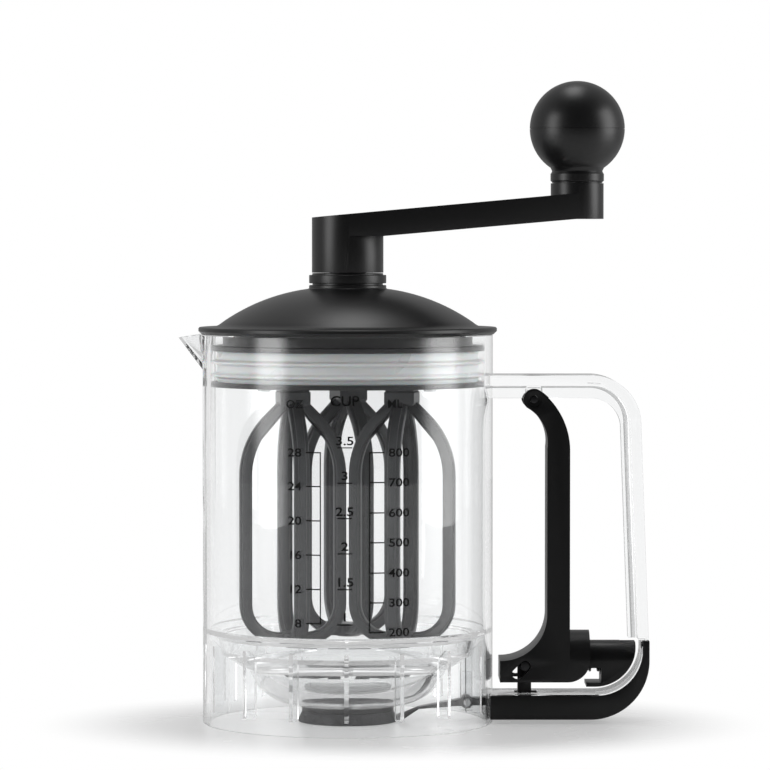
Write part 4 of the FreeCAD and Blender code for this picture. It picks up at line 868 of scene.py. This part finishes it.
@dataclass
class Lid:
    """The domed lid, its neck bush and the gear cage with its gasket."""

    paint: PaintBox
    rim: float = 149.8
    radius: float = 57.6
    neck: Point = (14.9, 168.7)
    dome_head: Point = (15.2, 167.3)
    dome_foot: float = 48.5
    dome_curve: float = 75.0
    bush: float = 11.0

    def cover(self) -> bpy.types.Object:
        """The domed cover.

        Returns:
            The cover.
        """
        top, (neck, neck_top) = self.rim + 2.7, self.neck
        outer = [(56.3, self.rim), (self.radius, self.rim + 1.2), (self.radius, top - 0.4),
                 (self.radius - 0.4, top), (52.7, top)]
        outer += arc((52.7, top), (self.dome_foot, top + 1.8), 7.0, -1, 8)
        outer += arc((self.dome_foot, top + 1.8), self.dome_head, self.dome_curve, 1, 24)
        outer += round_corner(self.dome_head, (neck, 167.6), self.neck, 0.3)
        outer += [(neck, 168.5), (14.7, neck_top)]
        inner = [(13.6, neck_top), (13.6, 169.4), (self.bush, 169.4), (self.bush, 165.1), (15.2, 165.1)]
        inner += arc((15.2, 165.1), (46.3, 152.1), 72.8, -1, 20) + [(46.7, self.rim)]
        return turned("lid_dome", outer + inner)

    def turned_parts(self) -> dict[str, tuple[str, str, list[Point]]]:
        """The half sections of the turned parts that the cover hides or holds.

        Returns:
            For each piece's name, the solid it stands for, its finish and its outline.
        """
        wide, neck, cage, seal, lip, collar = self.bush, self.neck[0], 46.0, 50.4, 53.0, 48.2
        return {
            "neck_bush": ("shaft_bush", "black", [
                (7.05, 147.6), (wide, 147.6), (wide, 169.4), (neck, 169.4), (neck, 172.6), (13.7, 172.6),
                (13.7, 173.3), (7.05, 173.3)]),
            "plug_cage": ("gear_cage", "black", [
                (41.6, 131.7), (cage, 131.7), (cage, 143.6), (52.8, 143.6), (52.8, 145.5),
                (collar, 145.5), (collar, self.rim), (45.2, self.rim), (45.2, 147.6), (7.6, 147.6),
                (7.6, 145.8), (41.6, 145.8)]),
            "plug_gasket": ("gasket", "silicone", [
                (cage, 131.7), (seal, 131.7), (seal, 133.3), (lip, 134.0), (lip, 134.8), (seal, 135.5),
                (seal, 138.3), (lip, 139.0), (lip, 139.8), (seal, 140.5), (seal, 143.6), (cage, 143.6)]),
        }

    def build(self) -> None:
        """Builds the lid."""
        self.paint.stand_in(self.cover(), "lid_cover", "black", Body.LID)
        for name, (node, finish, outline) in self.turned_parts().items():
            radius = 0.3 if node == "shaft_bush" else 0.35
            self.paint.stand_in(turned(name, rounded_loop(outline, radius)), node, finish, Body.LID)
        ring = refined("retainer_ring", 0.3)
        lip = [(49.6, 130.1), (52.4, 130.4), (52.7, 130.8), (52.4, 131.3), (49.6, 131.5)]
        merge_solids(ring, [turned("retainer_lip", lip)])
        smooth(ring)
        self.paint.place(ring, "black", Body.LID)
        self.paint.place(refined("ring_gear", 0.0), "whisk", Body.LID)
        self.paint.place(refined("retainer_screws", 0.25), "steel", Body.LID)


# ---------------------------------------------------------------- crank and knob


@dataclass
class Crank:
    """The crank arm, its drive shaft, the planet carrier under the lid and the ball knob."""

    paint: PaintBox
    throw: float = 88.5
    ball: float = 18.3
    centre: float = 229.0
    knob_neck: float = 10.3
    seam: float = 0.25
    seam_depth: float = 0.5

    def knob(self) -> None:
        """The ball knob, in two halves that meet on a fine seam."""
        neck, ball, centre, rest = self.knob_neck, self.ball, self.centre, (self.throw, 0.0)
        meet = centre - math.sqrt(ball ** 2 - neck ** 2)
        line = [(3.05, 208.05), (9.7, 208.05), (9.7, 208.5), (9.9, 208.5), (neck, 208.9), (neck, 211.5),
                (10.0, 211.9), (9.7, 212.6), (neck, meet)]
        line += arc((neck, meet), (ball, centre - self.seam), ball, 1, 26)
        line += [(ball - self.seam_depth, centre - self.seam), (ball - self.seam_depth, centre)]
        line += [(0.0, centre), (0.0, 224.1), (3.05, 224.1)]
        self.paint.stand_in(turned("knob_lower_half", line, rest, 128), "knob_base", "black", Body.KNOB)
        line = [(ball, centre)] + arc((ball, centre), (0.0, centre + ball), ball, 1, 32) + [(0.0, centre)]
        self.paint.stand_in(turned("knob_upper_half", line, rest, 128), "knob_cap", "black", Body.KNOB)

    def build(self) -> None:
        """Builds the crank and its knob."""
        edges = {"crank_arm": 0.7, "drive_shaft": 0.5, "carrier": 0.3, "carrier_bridge": 0.3}
        for node, width in edges.items():
            self.paint.place(refined(node, width), "black", Body.CRANK)
        for node in ("crank_screw", "carrier_screw", "knob_pin"):
            self.paint.place(refined(node, 0.3), "steel", Body.CRANK)
        self.knob()


# ---------------------------------------------------------------- whisks


@dataclass
class Whisks:
    """Three cages of four bowed, ribbed tines, each under a square hub on its planet gear."""

    paint: PaintBox
    circle: float = 24.0
    reach: float = 18.2
    bow: float = 30.0
    bow_level: float = 95.9
    foot: float = 31.0
    foot_bend: float = 13.0
    root: float = 3.0
    thick: float = 4.6
    width: float = 5.7
    rib_width: float = 3.0
    rib_height: float = 0.75

    def tine_line(self, half: float) -> list[Point]:
        """The side outline of a bowed bar, from the button round to the hub.

        Args:
            half: Half its thickness.

        Returns:
            The closed outline.
        """
        slant = math.sqrt(0.5)
        middle = self.reach - self.bow
        foot_reach, foot_level = self.reach - self.foot_bend, self.foot + self.thick / 2 + self.foot_bend
        foot = foot_level - self.foot_bend
        top = self.bow_level + self.bow * slant + middle + self.bow * slant - self.root
        line = [(self.root, foot - half), (foot_reach, foot - half)]
        line += arc(line[-1], (self.reach + half, foot_level), self.foot_bend + half, 1)
        line.append((self.reach + half, self.bow_level))
        outer, inner = (self.bow + half) * slant, (self.bow - half) * slant
        line += arc(line[-1], (middle + outer, self.bow_level + outer), self.bow + half, 1)
        skew = half * slant
        line += [(self.root + skew, top + skew), (self.root - skew, top - skew)]
        line.append((middle + inner, self.bow_level + inner))
        line += arc(line[-1], (self.reach - half, self.bow_level), self.bow - half, -1)
        line.append((self.reach - half, foot_level))
        line += arc(line[-1], (foot_reach, foot_level - self.foot_bend + half), self.foot_bend - half, -1)
        return line + [(self.root, foot_level - self.foot_bend + half)]

    def tine(self) -> bpy.types.Object:
        """One tine: a bar with a raised rib down each of its faces.

        Returns:
            The tine, in the plane y = 0.
        """
        half = self.thick / 2
        tine = side_plate("tine", self.tine_line(half - self.rib_height), self.width / 2)
        merge_solids(tine, [side_plate("tine_rib", self.tine_line(half), self.rib_width / 2)])
        soften_edges(tine, 0.32, 2, 40.0)
        return tine

    def hub(self) -> bpy.types.Object:
        """The square hub: a collar over a fine groove, chamfered under it, with a round socket.

        Returns:
            The hub.
        """
        corner = math.sqrt(2)
        line = [(0.0, 122.6), (5.0 * corner, 122.6), (5.8 * corner, 123.6), (5.8 * corner, 127.9),
                (5.35 * corner, 128.1), (5.35 * corner, 128.5), (5.8 * corner, 128.7), (5.8 * corner, 129.3),
                (0.0, 129.3)]
        hub = turned("hub", line, steps=4)
        swing(hub, -45.0)
        socket = turned("socket", [(0.0, 123.6), (4.65, 123.6), (4.65, 130.3), (0.0, 130.3)], steps=48)
        merge_solids(hub, [socket], "DIFFERENCE")
        soften_edges(hub, 0.3, 2)
        return hub

    def cage(self) -> bpy.types.Object:
        """One whisk about the jar's axis.

        Returns:
            The cage, whose parts are closed and run into each other.
        """
        tine = self.tine()
        button = [(0.0, 30.8), (4.6, 30.8), (5.0, 31.2), (5.0, 35.4), (4.6, 35.8), (0.0, 35.8)]
        parts = [self.hub(), turned("button", button, steps=48)]
        for quarter in range(4):
            parts.append(copy_of(tine, "tine_copy"))
            swing(parts[-1], 90.0 * quarter, Vector((0, 0, 0.05 * quarter)))
        bpy.data.objects.remove(tine)
        return join(parts, "whisk_pattern")

    def build(self) -> None:
        """Builds the whisks and their planet gears."""
        pattern = self.cage()
        for number, (spot, turn) in enumerate(((90.0, 22.5), (210.0, 12.0), (330.0, 78.0)), start=1):
            whisk, way = copy_of(pattern, f"whisk_cage_{number}"), math.radians(spot)
            swing(whisk, turn, Vector((math.cos(way), math.sin(way), 0)) * self.circle)
            self.paint.stand_in(whisk, f"whisk_{number}", "whisk", f"mixer_{number}")
            self.paint.place(refined(f"planet_gear_{number}", 0.0), "whisk", f"mixer_{number}")
        bpy.data.objects.remove(pattern)


# ---------------------------------------------------------------- lever, spring and foot


@dataclass
class SqueezeGrip:
    """The squeeze lever, its spring and housing, the base cover and the rocker."""

    paint: PaintBox

    def build(self) -> None:
        """Builds the lever side."""
        for node, edge, segments, finish, body in (
                ("lever", 0.9, 4, "grip", Body.LEVER), ("base_cover", 0.8, 4, "grip", Body.JAR),
                ("spring_housing", 0.6, 3, "grip", Body.JAR), ("rocker", 0.4, 3, "black", Body.ROCKER),
                ("link_pin", 0.3, 3, "pin", Body.ROCKER), ("release_tab", 0.3, 3, "rubber", Body.ROCKER),
                ("rocker_pin", 0.3, 3, "steel", Body.JAR), ("lever_pin", 0.3, 3, "pin", Body.JAR)):
            self.paint.place(refined(node, edge, segments), finish, body)
        spring = refined("lever_spring", 0.0)
        self.paint.dress(spring, "steel")
        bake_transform(spring)


@dataclass
class SuctionFoot:
    """The rubber cup under the bowl, its mount and its screw."""

    paint: PaintBox

    def build(self) -> None:
        """Builds the suction foot."""
        self.paint.place(refined("suction_cup", 0.25), "rubber", Body.JAR)
        self.paint.place(refined("suction_mount", 0.3), "black", Body.JAR)
        self.paint.place(refined("cup_screw", 0.3), "steel", Body.JAR)


# ---------------------------------------------------------------- studio


@dataclass
class Studio:
    """Floor, lamps, world and camera."""

    centre: tuple[float, float, float] = (0.0144, 0.0, 0.1301)
    camera_at: tuple[float, float, float] = (0.0144, -1.524, 0.1845)
    view_angle: float = 11.14
    room_front: float = 0.05
    room_back: float = 0.42
    clear_front: float = 0.34

    def white_out(self, sheet: NodeSheet, shade: bpy.types.NodeSocket, amount: bpy.types.NodeSocket,
                  kind: str) -> bpy.types.NodeSocket:
        """Mixes plain white over a surface, for what is seen and not for what it lights.

        Args:
            sheet: The node tree.
            shade: The surface or background below.
            amount: How much white lies over it.
            kind: The node that gives the white.

        Returns:
            The mixed shader.
        """
        white = sheet.add(kind, {"Color": (1, 1, 1, 1), "Strength": 1.0})
        return sheet.add("ShaderNodeMixShader", {"Fac": amount, 1: shade, 2: white.outputs[0]}).outputs[0]

    def floor(self) -> None:
        """A plain white floor, glossy near the jar, that fades into the background, with painted white light
        laid over its shadow next to the jar.
        """
        clear_selection()
        bpy.ops.mesh.primitive_circle_add(vertices=96, radius=1.6, fill_type="NGON", location=(0, 0, 0))
        floor = bpy.context.object
        floor.name = "studio_floor"
        bpy.ops.object.transform_apply(location=True, rotation=True, scale=True)
        material = bpy.data.materials.new("floor_white")
        material.use_nodes = True
        sheet = NodeSheet(material.node_tree)
        shader = material.node_tree.nodes["Principled BSDF"]
        place = sheet.add("ShaderNodeTexCoord").outputs["Object"]
        speck = sheet.add("ShaderNodeTexNoise", {"Vector": place, "Scale": 30.0, "Detail": 1.0})
        rough = sheet.add("ShaderNodeMapRange", {"Value": speck.outputs["Fac"], "To Min": 0.25,
                                                 "To Max": 0.29})
        sheet.feed(shader, {"Base Color": (0.93, 0.93, 0.93, 1), "Roughness": rough.outputs[0]})
        oval = sheet.add("ShaderNodeMapping", vector_type="TEXTURE")
        sheet.feed(oval, {"Vector": place, "Location": (0.02, -0.01, 0), "Scale": (1.25, 1.0, 1.0)})
        away = sheet.add("ShaderNodeVectorMath", {0: oval.outputs[0]}, operation="LENGTH")
        # Painted light: even close to the jar 35 percent plain white glow lies over the floor as seen, which
        # lightens the jar's shadow and reflection there.
        fade = sheet.add("ShaderNodeMapRange", {"Value": away.outputs["Value"], "From Min": 0.06,
                                                "From Max": 0.115, "To Min": 0.35},
                         interpolation_type="SMOOTHSTEP")
        path = sheet.add("ShaderNodeLightPath").outputs
        seen = sheet.add("ShaderNodeMath", {0: path["Is Camera Ray"], 1: path["Is Transmission Ray"]},
                         operation="MAXIMUM")
        amount = sheet.add("ShaderNodeMath", {0: seen.outputs[0], 1: fade.outputs[0]}, operation="MULTIPLY")
        mixed = self.white_out(sheet, shader.outputs[0], amount.outputs[0], "ShaderNodeEmission")
        sheet.feed(material.node_tree.nodes["Material Output"], {"Surface": mixed})
        floor.data.materials.append(material)

    def lamp(self, name: str, spot: Vector, size: Point, power: float) -> None:
        """One soft box that faces the jar.

        Args:
            name: Its name.
            spot: Where it stands.
            size: Its width and height, in metres.
            power: Its power, in watts.
        """
        data = bpy.data.lights.new(name, "AREA")
        data.shape = "RECTANGLE"
        data.size, data.size_y = size
        data.energy = power
        data.use_nodes = True
        sheet = NodeSheet(data.node_tree)
        across = sheet.add("ShaderNodeNewGeometry").outputs["Parametric"]
        parts = sheet.add("ShaderNodeSeparateXYZ", {0: across})
        off = sheet.add("ShaderNodeMath", {0: parts.outputs["X"], 1: 0.5}, operation="SUBTRACT")
        away = sheet.add("ShaderNodeMath", {0: off.outputs[0]}, operation="ABSOLUTE")
        glow = sheet.add("ShaderNodeMapRange", {"Value": away.outputs[0], "From Min": 0.12, "From Max": 0.5,
                                                "To Min": 1.0, "To Max": 0.0},
                         interpolation_type="SMOOTHSTEP")
        sheet.feed(data.node_tree.nodes["Emission"], {"Strength": glow.outputs[0]})
        lamp = bpy.data.objects.new(name, data)
        bpy.context.scene.collection.objects.link(lamp)
        lamp.location = spot
        aim = Vector((0.01, 0, 0.12)) - spot
        lamp.rotation_euler = aim.to_track_quat("-Z", "Y").to_euler()

    def world(self) -> None:
        """White behind the jar, a bright room at its back and sides, and a dark one before it."""
        world = bpy.data.worlds.new("studio_world")
        bpy.context.scene.world = world
        world.use_nodes = True
        world.node_tree.nodes.clear()
        sheet = NodeSheet(world.node_tree)
        parts = sheet.add("ShaderNodeSeparateXYZ", {0: sheet.add("ShaderNodeTexCoord").outputs["Generated"]})
        path = sheet.add("ShaderNodeLightPath").outputs
        levels = [sheet.add("ShaderNodeMapRange", {"Value": parts.outputs["Y"], "From Min": -0.55,
                                                   "From Max": 0.35, "To Min": low, "To Max": high},
                            interpolation_type="SMOOTHSTEP").outputs[0]
                  for low, high in ((self.room_front, self.room_back), (self.clear_front, 1.0))]
        level = sheet.add("ShaderNodeMix", {0: path["Is Transmission Ray"], 2: levels[0], 3: levels[1]},
                          data_type="FLOAT")
        room = sheet.add("ShaderNodeBackground", {"Color": (1, 1, 1, 1), "Strength": level.outputs[0]})
        seen = self.white_out(sheet, room.outputs[0], path["Is Camera Ray"], "ShaderNodeBackground")
        sheet.add("ShaderNodeOutputWorld", {"Surface": seen})

    def camera(self) -> None:
        """The camera, level with the lid and square to the handle."""
        data = bpy.data.cameras.new("studio_camera")
        data.sensor_width = 36.0
        data.lens = 18.0 / math.tan(math.radians(self.view_angle / 2))
        data.clip_start, data.clip_end = 0.05, 20.0
        camera = bpy.data.objects.new("studio_camera", data)
        bpy.context.scene.collection.objects.link(camera)
        camera.location = self.camera_at
        aim = Vector(self.centre) - Vector(self.camera_at)
        camera.rotation_euler = aim.to_track_quat("-Z", "Y").to_euler()
        bpy.context.scene.camera = camera

    def build(self) -> None:
        """Sets the stage."""
        self.camera()
        self.floor()
        self.lamp("softbox_left", Vector((-0.93, -0.48, 0.36)), (0.75, 0.95), 8.0)
        self.lamp("softbox_right", Vector((1.03, -0.18, 0.36)), (0.95, 0.95), 9.5)
        self.lamp("softbox_top", Vector((0.02, 0.16, 1.05)), (0.5, 0.5), 2.4)
        self.world()
        bpy.context.scene.view_settings.view_transform = "Standard"


def main() -> None:
    """Builds the whole mixer jar and its studio."""
    logging.basicConfig(level=logging.INFO, format="%(message)s")
    clear_selection()
    paint = PaintBox()
    Studio().build()
    ClearJar(paint).build()
    PrintedScales(paint).build()
    Lid(paint).build()
    Crank(paint).build()
    Whisks(paint).build()
    SqueezeGrip(paint).build()
    SuctionFoot(paint).build()


if __name__ == "__main__":
    main()
